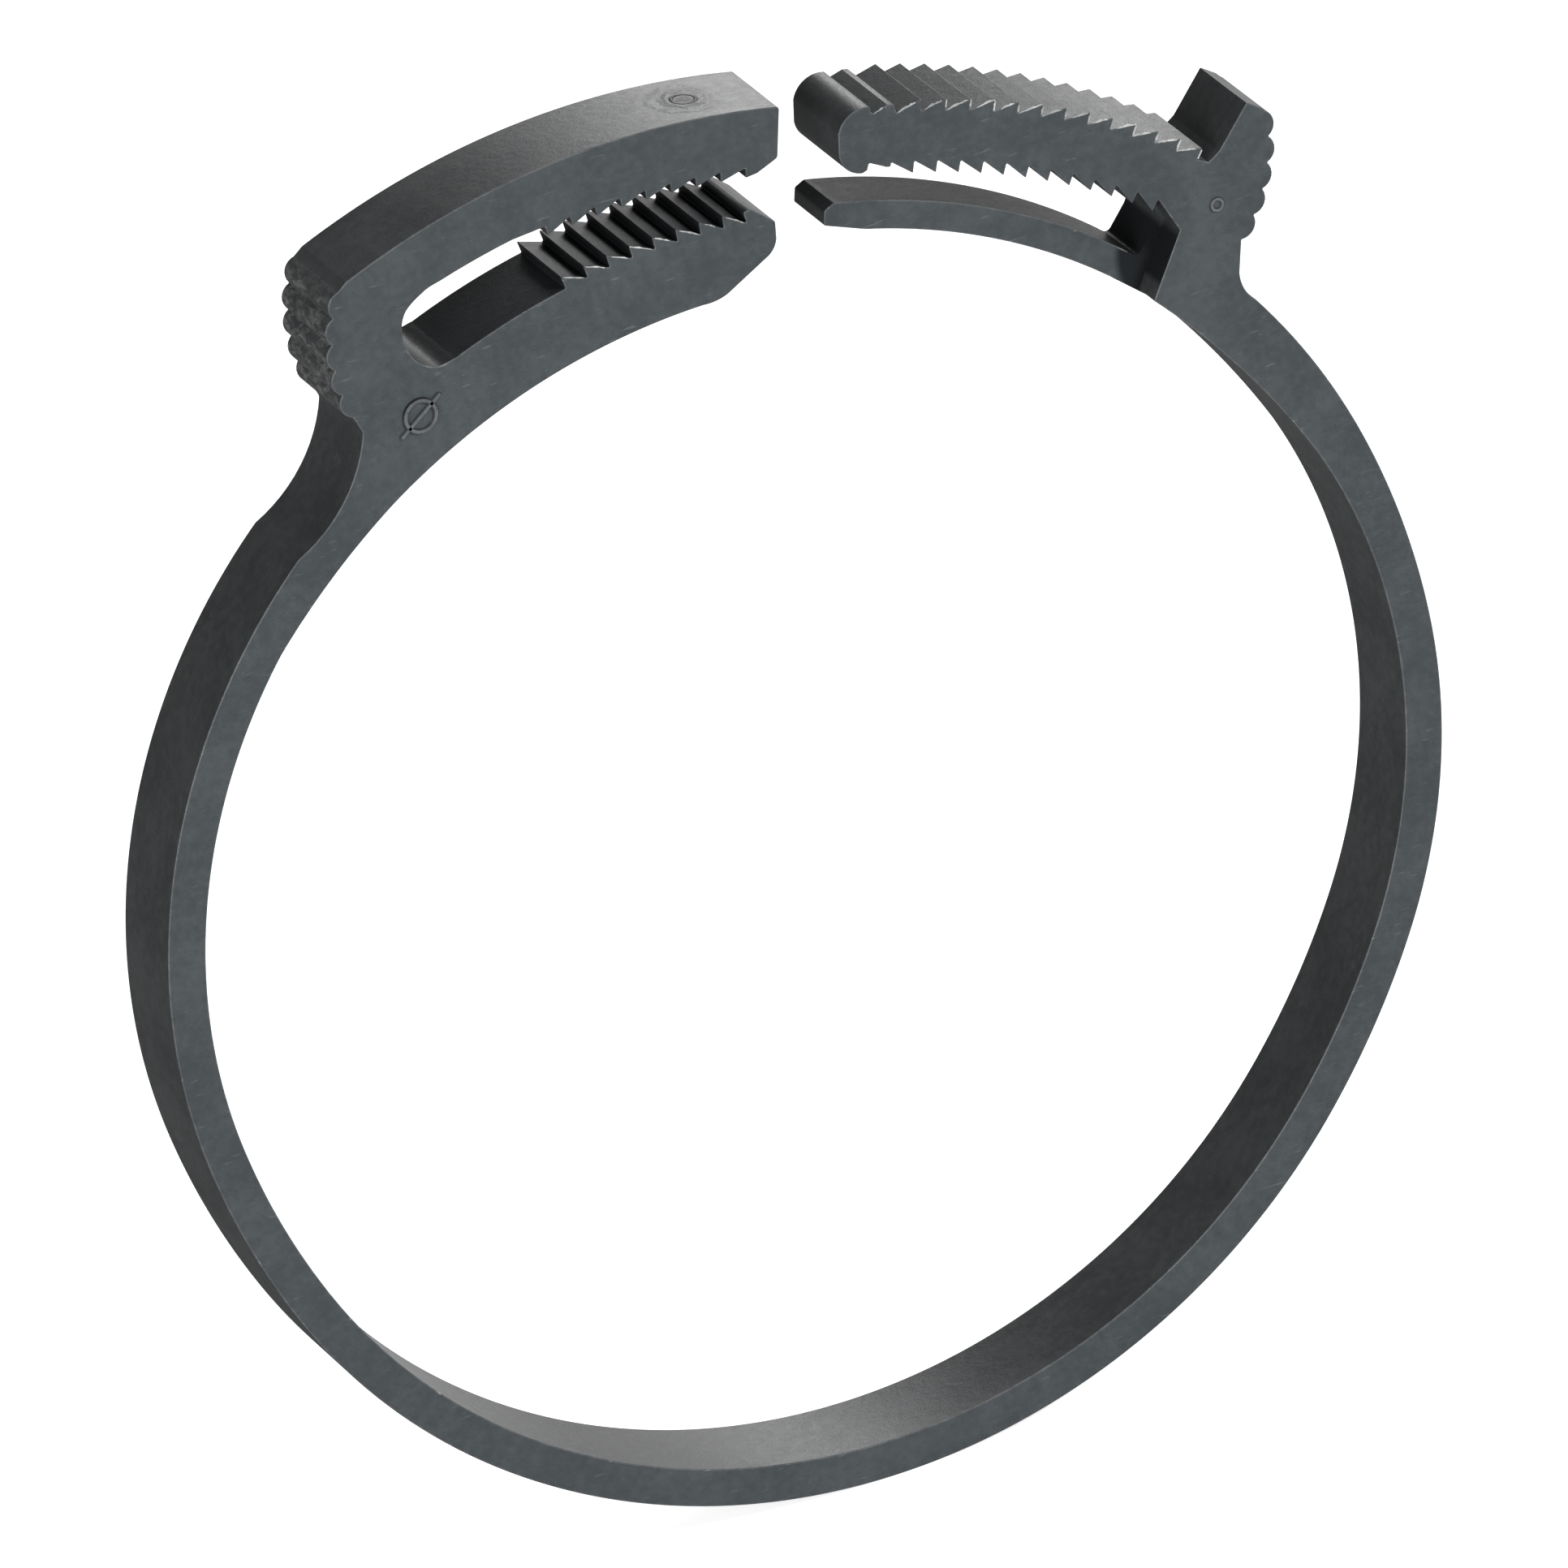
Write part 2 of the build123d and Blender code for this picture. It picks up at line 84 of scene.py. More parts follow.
# Socket jaw.
SOCKET = (-2.6, -1.4)                               # centre of the racks
LOWER_VALLEY, LOWER_HEIGHT, LOWER_START, LOWER_TEETH, LOWER_LEAN = 49.66, 0.93, 83.9, 8, 0.07
UPPER_START, UPPER_TEETH, UPPER_HEIGHT = 83.8, 9, 0.72
UPPER_MOUTH, UPPER_RATE = 53.7, 0.06                # the upper rack's radius grows away from the mouth
UPPER_OUTER, UPPER_OUTER_RADIUS = (-6.2, 1.53), 55.56
LOWER_MOUTH = ((2.5, 48.85), (3.1, 48.9), (4.75, 47.45))           # the lower arm's tip
UPPER_MOUTH_END = ((5.65, 52.0), (4.7, 51.62), (4.0, 51.35))       # the upper prong's tip
LIP, LIP_RADIUS = (-1.4, -3.4), 46.45
LIP_TIP = ((4.65, 46.2), (4.42, 45.62), (3.9, 45.1))
LIP_STEP = ((0.5, 43.3), (-0.4, 43.06))
LIP_WIDTH = 2.4
SLOT_TOP_END, SLOT_TOP_ROOT = (-14.4, 52.28), (-21.3, 50.65)
SLOT_END = ((-22.95, 49.5), (-23.4, 47.7), (-22.75, 45.85), (-21.35, 44.93))
SLOT_BOTTOM_ROOT = (-19.8, 45.12)
POCKET_ROOF = ((81.0, 48.95), (98.0, 47.98), (114.0, 47.5))        # directions and radii
POCKET_MOUTH = (4.71, 47.0)
PRONG_CUT = 111.0                                   # the upper prong's piece starts here
PRONG_CORNER = (6.35, 55.65)
SOCKET_INNER_MIDDLE, SOCKET_INNER_END = (-30.35, 32.85), (-26.0, 36.0)
SOCKET_NECK_OFFSET, SOCKET_NECK, SOCKET_NECK_TOP = 130.6, (-28.0, 39.95), (-27.38, 41.9)
SOCKET_RIBS = ((-27.9, 43.2), (-28.62, 47.85), (-27.5, 52.6))
SOCKET_CORNER = (-26.8, 53.13)

# Plug jaw.
PLUG = (2.05, -0.4)                                 # centre of the tongue's racks
INNER_TIP, INNER_DEPTH, INNER_START, INNER_TEETH = 49.87, 0.9, 52.6, 12
OUTER_TIP, OUTER_DEPTH, OUTER_START, OUTER_TEETH = 55.25, 0.88, 51.18, 13
OUTER_PITCH, OUTER_LEAN = 1.95, 0.06
# The tongue's nose, from the outer rack to the inner one: a step, two arcs and a notch.
NOSE_STEP = ((14.75, 52.41), (14.65, 53.15), (14.2, 53.25), (12.95, 52.92))
NOSE_TOP = ((12.9, 53.5), (11.4, 53.42), (10.3, 52.2))
NOSE_BOTTOM = ((10.1, 50.6), (10.5, 49.5), (11.6, 48.85))
NOSE_NOTCH = ((12.0, 48.95), (12.2, 49.45), (13.4, 48.75), (13.75, 48.65))
TONGUE_ROOT = 50.2
STEP_TOP, STEP_MIDDLE, STEP_BOTTOM = (34.15, 37.15), (33.3, 30.5), (31.45, 32.6)
NECK_OFFSET = 122.15                                # where the necks leave the ring on its inner side
NECK_MIDDLE, NECK_TOP, NECK_CORNER, NECK_SIDE = (42.36, 24.7), (39.0, 30.2), (38.25, 31.3), (38.05, 32.6)
PLUG_RIBS = ((38.55, 35.0), (41.0, 39.1), (41.75, 43.85))
LUG_TOP, LUG_TIP, LUG_FOOT, LUG_HOLLOW = (41.55, 44.1), (40.45, 44.9), (37.95, 42.05), (37.45, 41.72)
GUARD_OUTER, GUARD_THICKNESS, GUARD_START, GUARD_TIP = 47.25, 2.1, 47.4, 78.4
GUARD_CUT = GUARD_START + 1.5                       # the guard tail's piece starts here
GUARD_WIDTH = 5.05

# Raised marks on the front face.
SIZE_SIGN, SIZE_SIGN_RADIUS, SIZE_SIGN_TURN = (-23.1, 41.8), 1.15, -15
CAVITY_RING, CAVITY_RING_RADIUS = (37.1, 38.2), 0.42

TIP, VALLEY = 0.05, 0.08                            # corner radii at the teeth
EDGE = 0.08                                         # radius of the jaws' moulded edges
BAND_EDGE = 0.09


# ------------------------------------------------------------------ plane geometry
def polar(centre, radius, direction):
    a = math.radians(direction)
    return (centre[0] + radius * math.cos(a), centre[1] + radius * math.sin(a))


SEAT_CENTRE = polar((0, 0), SEAT_DROP, BOTTOM)
HOSE = polar((0, 0), HOSE_DROP, BOTTOM)             # the frame's origin


def to_frame(x, y, z):
    """From millimetres about the ring's centre to the frame."""
    return ((x - HOSE[0]) * MM, y * MM, (z - HOSE[1]) * MM)


def about_hose(point):
    """A point of the outlines in millimetres about the hose's axis, as materials use them."""
    return (point[0] - HOSE[0], 0.0, point[1] - HOSE[1])


def direction_of(p, centre=(0, 0)):
    return math.degrees(math.atan2(p[1] - centre[1], p[0] - centre[0]))


def distance(p, q):
    return math.hypot(p[0] - q[0], p[1] - q[1])


def flank_centre(side):
    return polar(SEAT_CENTRE, SEAT_RADIUS - FLANK_RADIUS, BOTTOM + side * SEAT_END)


def shoulder_centre(side):
    return polar(flank_centre(side), FLANK_RADIUS - SHOULDER_RADIUS, BOTTOM + side * FLANK_END)


def band_point(offset, depth):
    """The point at a depth outside the band's inner face, which is round, then flatter, then rounder."""
    direction = BOTTOM + offset
    side = 1 if offset > 0 else -1
    if abs(offset) <= SEAT_END:
        return polar(SEAT_CENTRE, SEAT_RADIUS + depth, direction)
    if abs(offset) <= FLANK_END:
        return polar(flank_centre(side), FLANK_RADIUS + depth, direction)
    return polar(shoulder_centre(side), SHOULDER_RADIUS + depth, direction)


def outer_point(offset):
    """On the band's outer face, which swells towards the plug jaw."""
    share = max(0.0, (offset - SWELLING_START) / (SWELLING_END - SWELLING_START)) ** 2
    return band_point(offset, BAND_THICKNESS + share * (PLUG_NECK_THICKNESS - BAND_THICKNESS))


def arc(centre, radius, start, end, step=0.8):
    n = max(2, int(abs(end - start) / step) + 1)
    return [polar(centre, radius, start + (end - start) * i / n) for i in range(n + 1)]


def arc3(a, b, c, n=12):
    """Points on the circle through three points, from a by b to c."""
    ax, ay, bx, by, cx, cy = *a, *b, *c
    d = 2 * (ax * (by - cy) + bx * (cy - ay) + cx * (ay - by))
    sa, sb, sc = ax * ax + ay * ay, bx * bx + by * by, cx * cx + cy * cy
    centre = ((sa * (by - cy) + sb * (cy - ay) + sc * (ay - by)) / d,
              (sa * (cx - bx) + sb * (ax - cx) + sc * (bx - ax)) / d)
    t0, t1, t2 = (direction_of(p, centre) for p in (a, b, c))
    sweep = (t2 - t0) % 360
    if (t1 - t0) % 360 > sweep:
        sweep -= 360
    radius = distance(a, centre)
    return [polar(centre, radius, t0 + sweep * i / n) for i in range(n + 1)]


def smooth_curve(points, n=8):
    """A smooth curve through the points, with n steps from each to the next."""
    pts = [np.array(p, float) for p in points]
    pts = [2 * pts[0] - pts[1]] + pts + [2 * pts[-1] - pts[-2]]
    out = []
    for i in range(1, len(pts) - 2):
        p0, p1, p2, p3 = pts[i - 1:i + 3]
        for k in range(n):
            t = k / n
            out.append(tuple(0.5 * (2 * p1 + (p2 - p0) * t + (2 * p0 - 5 * p1 + 4 * p2 - p3) * t**2
                                    + (3 * p1 - p0 - 3 * p2 + p3) * t**3)))
    out.append(tuple(pts[-2]))
    return out


def ray_to_circle(origin, direction, centre, radius):
    """Where a ray from origin meets a circle."""
    rx, rz = polar((0, 0), 1, direction)
    dx, dz = origin[0] - centre[0], origin[1] - centre[1]
    along = rx * dx + rz * dz
    return polar(origin, -along + math.sqrt(along**2 - dx**2 - dz**2 + radius**2), direction)


def ray_to_line(origin, direction, line):
    """The farthest point where a ray from origin meets a polyline."""
    rx, rz = polar((0, 0), 1, direction)
    best = None
    for (x0, z0), (x1, z1) in zip(line, line[1:]):
        ex, ez = x1 - x0, z1 - z0
        det = rx * ez - rz * ex
        if abs(det) < 1e-12:
            continue
        t = ((x0 - origin[0]) * ez - (z0 - origin[1]) * ex) / det
        s = ((x0 - origin[0]) * rz - (z0 - origin[1]) * rx) / det
        if -1e-6 <= s <= 1 + 1e-6 and t > 0 and (best is None or t > best):
            best = t
    return (origin[0] + best * rx, origin[1] + best * rz)


# ------------------------------------------------------------------ outlines
# An outline is a list of (x, z, corner radius, finish); the finish is that of the edge that follows:
# "" plain, "cut" where the next piece carries on, so that it gets neither a wall nor a rounded edge.
FLAT_CORNER = 172                                   # a corner this open, in degrees, isn't rounded
FREE = 1.0                                          # an inset limit that never binds, in millimetres
SAME_POINT = 2e-4


def run(points):
    return [(p[0], p[1], 0.0, "") for p in points]


def corners(*points, radius):
    return [(p[0], p[1], radius, "") for p in points]


def signed_area(outline):
    return sum(p[0] * q[1] - q[0] * p[1] for p, q in zip(outline, outline[1:] + outline[:1])) / 2


def rounded(outline):
    """The outline with its marked corners replaced by small arcs, counter-clockwise, without doubles.

    Each point becomes (x, z, finish, limit); the limit is how far an inset may carry it.
    """
    out = []
    n = len(outline)
    turning = 1 if signed_area(outline) > 0 else -1
    for i, (x, z, radius, finish) in enumerate(outline):
        if radius <= 0:
            out.append((x, z, finish, FREE))
            continue
        px, pz = outline[i - 1][:2]
        nx, nz = outline[(i + 1) % n][:2]
        a, b = np.array((px - x, pz - z)), np.array((nx - x, nz - z))
        la, lb = np.linalg.norm(a), np.linalg.norm(b)
        a, b = a / la, b / lb
        angle = math.acos(max(-1, min(1, float(a @ b))))
        if angle > math.radians(FLAT_CORNER):
            out.append((x, z, finish, FREE))
            continue
        reach = min(radius / math.tan(angle / 2), 0.45 * la, 0.45 * lb)
        real = reach * math.tan(angle / 2)
        bisector = (a + b) / np.linalg.norm(a + b)
        centre = np.array((x, z)) + bisector * real / math.sin(angle / 2)
        start, end = np.array((x, z)) + a * reach, np.array((x, z)) + b * reach
        t0 = math.atan2(*(start - centre)[::-1])
        sweep = (math.atan2(*(end - centre)[::-1]) - t0 + math.pi) % (2 * math.pi) - math.pi
        limit = 0.9 * real if sweep * turning > 0 else FREE
        steps = max(2, int(abs(sweep) / math.radians(28)) + 1)
        for k in range(steps + 1):
            t = t0 + sweep * k / steps
            out.append((centre[0] + real * math.cos(t), centre[1] + real * math.sin(t),
                        finish if k == steps else "", limit))
    clean = []
    for p in out:
        if clean and distance(clean[-1], p) < SAME_POINT:
            clean[-1] = (clean[-1][0], clean[-1][1], p[2], min(clean[-1][3], p[3]))
        else:
            clean.append(p)
    if distance(clean[0], clean[-1]) < SAME_POINT:
        clean.pop()
    if turning < 0:
        clean = clean[::-1]
        finishes = [p[2] for p in clean[1:] + clean[:1]]
        clean = [(x, z, f, limit) for (x, z, _, limit), f in zip(clean, finishes)]
    return clean


def shrunk(outline, amount):
    """The outline moved inwards by amount, except along its cut edges."""
    pts = np.array([(p[0], p[1]) for p in outline])
    if not amount:
        return pts
    n = len(pts)
    most = 2.2 * amount                             # how far a sharp corner may move
    out = []
    for i in range(n):
        before, here, after = pts[i - 1], pts[i], pts[(i + 1) % n]
        d0, d1 = here - before, after - here
        d0, d1 = d0 / np.linalg.norm(d0), d1 / np.linalg.norm(d1)
        n0, n1 = np.array((-d0[1], d0[0])), np.array((-d1[1], d1[0]))
        reach = min(amount, outline[i][3])
        m0 = 0 if outline[i - 1][2] == "cut" else reach
        m1 = 0 if outline[i][2] == "cut" else reach
        det = n0[0] * n1[1] - n0[1] * n1[0]
        if abs(det) < 0.02:
            out.append(here + n1 * (m0 + m1) / 2)
            continue
        move = np.array((m0 * n1[1] - m1 * n0[1], n0[0] * m1 - n1[0] * m0)) / det
        length = np.linalg.norm(move)
        if length > most:
            move *= most / length
        out.append(here + move)
    return out


# ------------------------------------------------------------------ raised marks and flash
# A ridge's section: how far across it, and its height, or how far it sinks into the face in millimetres.
RIDGE_SECTION = ((0.5, None), (0.27, 1.0), (-0.27, 1.0), (-0.5, None))
RIDGE_SINK = 0.03


def ridge(points, width=0.44, height=0.19, closed=False):
    """A low ridge with sloping sides along a line on the front face; its top is painted as a highlight and
    its slopes as shade.
    """
    verts, faces, kinds = [], [], []
    n, m = len(points), len(RIDGE_SECTION)
    for i, p in enumerate(points):
        before = points[i - 1] if closed or i else p
        beyond = points[(i + 1) % n] if closed or i < n - 1 else p
        t = np.array(beyond) - np.array(before)
        t = t / np.linalg.norm(t)
        side = np.array((-t[1], t[0]))
        for across, rise in RIDGE_SECTION:
            q = np.array(p) + side * across * width
            verts.append((q[0], FRONT - rise * height if rise else FRONT + RIDGE_SINK, q[1]))
    for i in range(n if closed else n - 1):
        a, b = m * i, m * ((i + 1) % n)
        for k in range(m - 1):
            faces.append((a + k, a + k + 1, b + k + 1, b + k))
            kinds.append("mark_top_highlight" if k == 1 else "mark")
    if not closed:
        faces += [tuple(range(m - 1, -1, -1)), tuple(m * (n - 1) + k for k in range(m))]
        kinds += ["mark", "mark"]
    return verts, faces, kinds


def flash(start, end, outward, most, pieces=7):
    """A torn sliver of moulding flash that stands on an edge of the front face."""
    verts, faces = [], []
    first = rng.uniform(0.0, 0.35)
    last = rng.uniform(0.65, 1.0)
    root, near, far = 0.08, 0.015, 0.065            # how deep it is rooted, and its two sides
    for k in range(pieces + 1):
        t = first + (last - first) * k / pieces
        rise = most * rng.uniform(0.15, 1.0) * math.sin(math.pi * min(1, max(0.08, k / pieces)))
        lean = rng.uniform(-0.03, 0.05)
        x, z = start[0] + (end[0] - start[0]) * t, start[1] + (end[1] - start[1]) * t
        for y in (FRONT + near, FRONT + far):
            verts.append((x - outward[0] * root, y, z - outward[1] * root))
            verts.append((x + outward[0] * rise, y - lean, z + outward[1] * rise))
    for k in range(pieces):
        a, b = 4 * k, 4 * (k + 1)
        faces += [(a, a + 1, b + 1, b), (a + 3, a + 2, b + 2, b + 3), (a + 1, a + 3, b + 3, b + 1)]
    return verts, faces, ["flash"] * len(faces)


def circle(radius, n):
    return [polar((0, 0), radius, 360 * i / n) for i in range(n)]


def turned(points, origin, angle):
    """Points given about a mark's own centre, turned and put in place."""
    c, s = math.cos(math.radians(angle)), math.sin(math.radians(angle))
    return [(origin[0] + u * c - v * s, origin[1] + u * s + v * c) for u, v in points]


# ------------------------------------------------------------------ meshes
# Mesh data is (vertices, faces, kinds); a face's kind picks its material and shading.
ROUND = ((0.0, 1.0), (0.134, 0.5), (0.5, 0.134), (1.0, 0.0))       # a quarter circle: depth, inset
# The kinds round the band's section, which starts at its outer front edge.
STRIP_KINDS = (3 * ["edge"] + ["side"] + 3 * ["edge_back"] + ["face_back"] + 3 * ["edge_back"] + ["side"]
               + 3 * ["edge"] + ["face"])
# Sides, back edges and the marks' slopes take the darker copy of the nylon as painted shade; front edges
# take the lighter copy, partly real edge wear and partly painted highlight; the marks' tops take it as
# painted highlight; flash takes painted glints.
KIND_MATERIAL = {"face": 0, "face_back": 0, "side": 1, "edge": 2, "edge_back": 1, "mark": 1, "mark_top_highlight": 2,
                 "flash": 3}
SHARP_ANGLE = 32
rng = random.Random(11)                             # drives the flash


def slab(outline, y0, y1, edge0=EDGE, edge1=EDGE):
    """A prism with the given outline from y0 to y1 and small rounded edges."""
    outline = rounded(outline)
    n = len(outline)
    levels = [(y0 + d * edge0, s * edge0) for d, s in ROUND] if edge0 else [(y0, 0)]
    levels += [(y1 - d * edge1, s * edge1) for d, s in reversed(ROUND)] if edge1 else [(y1, 0)]
    last = len(levels) - 1
    verts = [(x, y, z) for y, inset in levels for x, z in shrunk(outline, inset)]
    faces, kinds = [], []
    for level in range(last):
        wall = levels[level][1] == 0 and levels[level + 1][1] == 0
        in_front = edge0 and level < len(ROUND) - 1
        for i in range(n):
            if outline[i][2] == "cut":
                continue
            j = (i + 1) % n
            a = level * n
            faces.append((a + i, a + j, a + n + j, a + n + i))
            kinds.append("side" if wall else ("edge" if in_front else "edge_back"))
    faces += [tuple(range(n)), tuple(last * n + i for i in reversed(range(n)))]
    return verts, faces, kinds + ["face", "face_back"]


def joined(*parts):
    """Several pieces of mesh data as one."""
    verts, faces, kinds = [], [], []
    for v, f, k in parts:
        base = len(verts)
        verts += v
        faces += [tuple(base + i for i in face) for face in f]
        kinds += k
    return verts, faces, kinds


def strip(stations):
    """A rounded rectangle carried along the given (inner, outer) points of the band."""
    section = [(FRONT + d * BAND_EDGE, s * BAND_EDGE) for d, s in ROUND]
    section += [(BACK - d * BAND_EDGE, s * BAND_EDGE) for d, s in reversed(ROUND)]
    loop = [(y, inset, True) for y, inset in section]
    loop += [(y, inset, False) for y, inset in reversed(section)]
    m = len(loop)
    verts, faces, kinds = [], [], []
    for inner, outer in stations:
        inner, outer = np.array(inner), np.array(outer)
        ray = (outer - inner) / np.linalg.norm(outer - inner)
        for y, inset, is_outer in loop:
            p = outer - ray * inset if is_outer else inner + ray * inset
            verts.append((p[0], y, p[1]))
    for s in range(len(stations) - 1):
        for i in range(m):
            j = (i + 1) % m
            a, b = s * m, (s + 1) * m
            faces.append((a + i, b + i, b + j, a + j))
        kinds += STRIP_KINDS
    return verts, faces, kinds


def build(name, data):
    """A Blender object from mesh data; it keeps its place at rest for the materials."""
    verts, faces, kinds = data
    mesh = bpy.data.meshes.new(name)
    mesh.from_pydata([to_frame(*v) for v in verts], [], faces)
    for material in materials:
        mesh.materials.append(material)
    mesh.polygons.foreach_set("material_index", [KIND_MATERIAL[k] for k in kinds])
    mesh.polygons.foreach_set("use_smooth", [not k.startswith("face") for k in kinds])
    mesh.update()
    mesh.set_sharp_from_angle(angle=math.radians(SHARP_ANGLE))
    rest = mesh.attributes.new("rest", "FLOAT_VECTOR", "POINT")
    rest.data.foreach_set("vector", [c / MM for v in mesh.vertices for c in v.co])
    obj = bpy.data.objects.new(name, mesh)
    bpy.context.scene.collection.objects.link(obj)
    modifier = obj.modifiers.new("normals", "WEIGHTED_NORMAL")
    modifier.keep_sharp = True
    modifier.weight = 80
    return obj


# ------------------------------------------------------------------ materials
# Places are in millimetres about the hose's axis.
PIN_MARK = (1.1, 0.0, 57.9)
PRONG_TIP = (6.5, 0.0, 56.9)
GRIP_MIDDLE = (-28.6, 0.0, 48.9)
# Painted shade in the recess beside the guard's root, painted dark and with less specular: its middle, and
# one over its half lengths.
RECESS_SHADE = ((32.4, -1.2, 35.9), (0.40, 0.8, 0.24))
BUMP_DISTANCE = 0.00006                             # metres
# SHADE is the colour of painted shade; GROOVE_SHADE is painted shade in the pin mark's groove.
SHADE, GROOVE_SHADE = (0.008, 0.009, 0.010), (0.010, 0.010, 0.010)
# TIP_SHEEN is a painted sheen on the prong's top near its tip; WORN is the colour of worn spots.
TIP_SHEEN, WORN = (0.20, 0.205, 0.20), (0.34, 0.34, 0.33)


class Graph:
    """Adds shader nodes to one material. A value is a number or a node's output."""

    def __init__(self, name):
        self.material = bpy.data.materials.new(name)
        self.material.use_nodes = True
        self.nodes, self.links = self.material.node_tree.nodes, self.material.node_tree.links
        self.shader = self.nodes["Principled BSDF"]
        attribute = self.nodes.new("ShaderNodeAttribute")
        attribute.attribute_name = "rest"
        self.rest = attribute.outputs["Vector"]

    def vector(self, kind, a, b=(0, 0, 0)):
        node = self.nodes.new("ShaderNodeVectorMath")
        node.operation = kind
        self.links.new(a, node.inputs[0])
        node.inputs[1].default_value = b
        return node.outputs["Value" if kind == "LENGTH" else "Vector"]

    def noise(self, scale, detail, roughness=0.6, distortion=0.0, stretch=None):
        node = self.nodes.new("ShaderNodeTexNoise")
        for key, value in (("Scale", scale), ("Detail", detail), ("Roughness", roughness),
                           ("Distortion", distortion)):
            node.inputs[key].default_value = value
        place_at_rest = self.vector("MULTIPLY", self.rest, stretch) if stretch else self.rest
        self.links.new(place_at_rest, node.inputs["Vector"])
        return node.outputs["Fac"]

    def calculate(self, kind, a, b=0.0):
        node = self.nodes.new("ShaderNodeMath")
        node.operation = kind
        for socket, value in zip(node.inputs, (a, b)):
            if isinstance(value, (int, float)):
                socket.default_value = value
            else:
                self.links.new(value, socket)
        return node.outputs[0]

    def add(self, a, b):
        return self.calculate("ADD", a, b)

    def times(self, a, b):
        return self.calculate("MULTIPLY", a, b)

    def ramp(self, value, start, end, low_value=0.0, high_value=1.0):
        node = self.nodes.new("ShaderNodeMapRange")
        node.interpolation_type = "SMOOTHSTEP"
        self.links.new(value, node.inputs["Value"])
        for key, number in (("From Min", start), ("From Max", end), ("To Min", low_value),
                            ("To Max", high_value)):
            node.inputs[key].default_value = number
        return node.outputs["Result"]

    def mix(self, factor, a, b):
        node = self.nodes.new("ShaderNodeMix")
        node.data_type = "RGBA"
        self.links.new(factor, node.inputs[0])
        for socket, value in ((node.inputs[6], a), (node.inputs[7], b)):
            if isinstance(value, tuple):
                socket.default_value = (*value, 1)
            else:
                self.links.new(value, socket)
        return node.outputs[2]

    def away_from(self, point, scale=(1, 1, 1)):
        """Distance from a place, stretched along the axes by scale."""
        offset = self.vector("SUBTRACT", self.rest, point)
        return self.vector("LENGTH", self.vector("MULTIPLY", offset, scale))

    def to_the_right(self):
        node = self.nodes.new("ShaderNodeSeparateXYZ")
        self.links.new(self.rest, node.inputs[0])
        return node.outputs["X"]


def grip_wear(g, colour, height):
    """Handled grip ribs of the socket: scratched and worn."""
    grit = g.noise(2.0, 7.0, 0.78, 0.5, (1.0, 0.55, 1.0))
    grip = g.times(g.ramp(g.away_from(GRIP_MIDDLE, (1, 0.35, 0.75)), 4.5, 2.8), g.ramp(grit, 0.44, 0.62))
    return g.mix(g.times(grip, 0.38), colour, (0.20, 0.20, 0.195)), g.add(height, g.times(grip, 0.7))


def prong_top(g, colour, height, mottle):
    """The upper prong's top: a painted sheen towards its tip, with the pin mark, the flow rings round it
    and painted shade in the pin mark's groove.
    """
    # Painted sheen: the top is painted lighter towards its tip, in streaks.
    near_tip = g.ramp(g.away_from(PRONG_TIP, (0.062, 0.05, 0.5)), 1.25, 0.15)
    streak = g.ramp(g.noise(0.5, 3.0, 0.6, 0.8, (1.0, 2.0, 0.2)), 0.35, 0.7)
    sheen = g.times(near_tip, g.add(g.times(streak, 0.6), 0.4))
    colour = g.mix(g.times(sheen, 0.55), colour, TIP_SHEEN)
    from_pin = g.away_from(PIN_MARK, (1, 1, 0.3))
    flow = g.add(from_pin, g.times(mottle, 1.6))
    rings = g.times(g.calculate("SINE", g.times(flow, 5.5)), g.ramp(from_pin, 3.6, 1.0))
    height = g.add(height, g.times(rings, 0.8))
    dark_rings = g.times(g.ramp(rings, 0.5, 1.0), g.ramp(from_pin, 3.2, 1.2))
    colour = g.mix(g.times(dark_rings, 0.3), colour, (0.02, 0.02, 0.02))
    colour = g.mix(g.times(g.ramp(from_pin, 0.86, 0.74), 0.8), colour, (0.030, 0.031, 0.032))
    # The pin mark's ring groove is sunk by the bump and painted near-black as painted shade.
    groove = g.times(g.ramp(from_pin, 1.02, 0.88), g.ramp(from_pin, 0.70, 0.82))
    colour = g.mix(groove, colour, GROOVE_SHADE)
    return colour, g.calculate("SUBTRACT", height, g.times(groove, 9.0))


def shade_in_hollows(g):
    """Painted shade on the sides where they lie sunken: in the slot, and between the tongue and the guard
    tail.
    """
    x = g.to_the_right()
    from_socket = g.away_from(about_hose(SOCKET), (1, 0, 1))
    slot = g.times(g.ramp(from_socket, 48.2, 49.0), g.ramp(from_socket, 54.3, 53.7))
    slot = g.times(slot, g.times(g.ramp(x, -25.5, -24.0), g.ramp(x, 5.0, 2.0)))
    from_ring = g.away_from(about_hose((0, 0)), (1, 0, 1))
    under = g.times(g.ramp(from_ring, 46.2, 46.8), g.ramp(from_ring, 50.6, 49.8))
    under = g.times(under, g.ramp(x, 7.0, 11.0))
    return g.calculate("MAXIMUM", g.times(slot, 0.8), under)


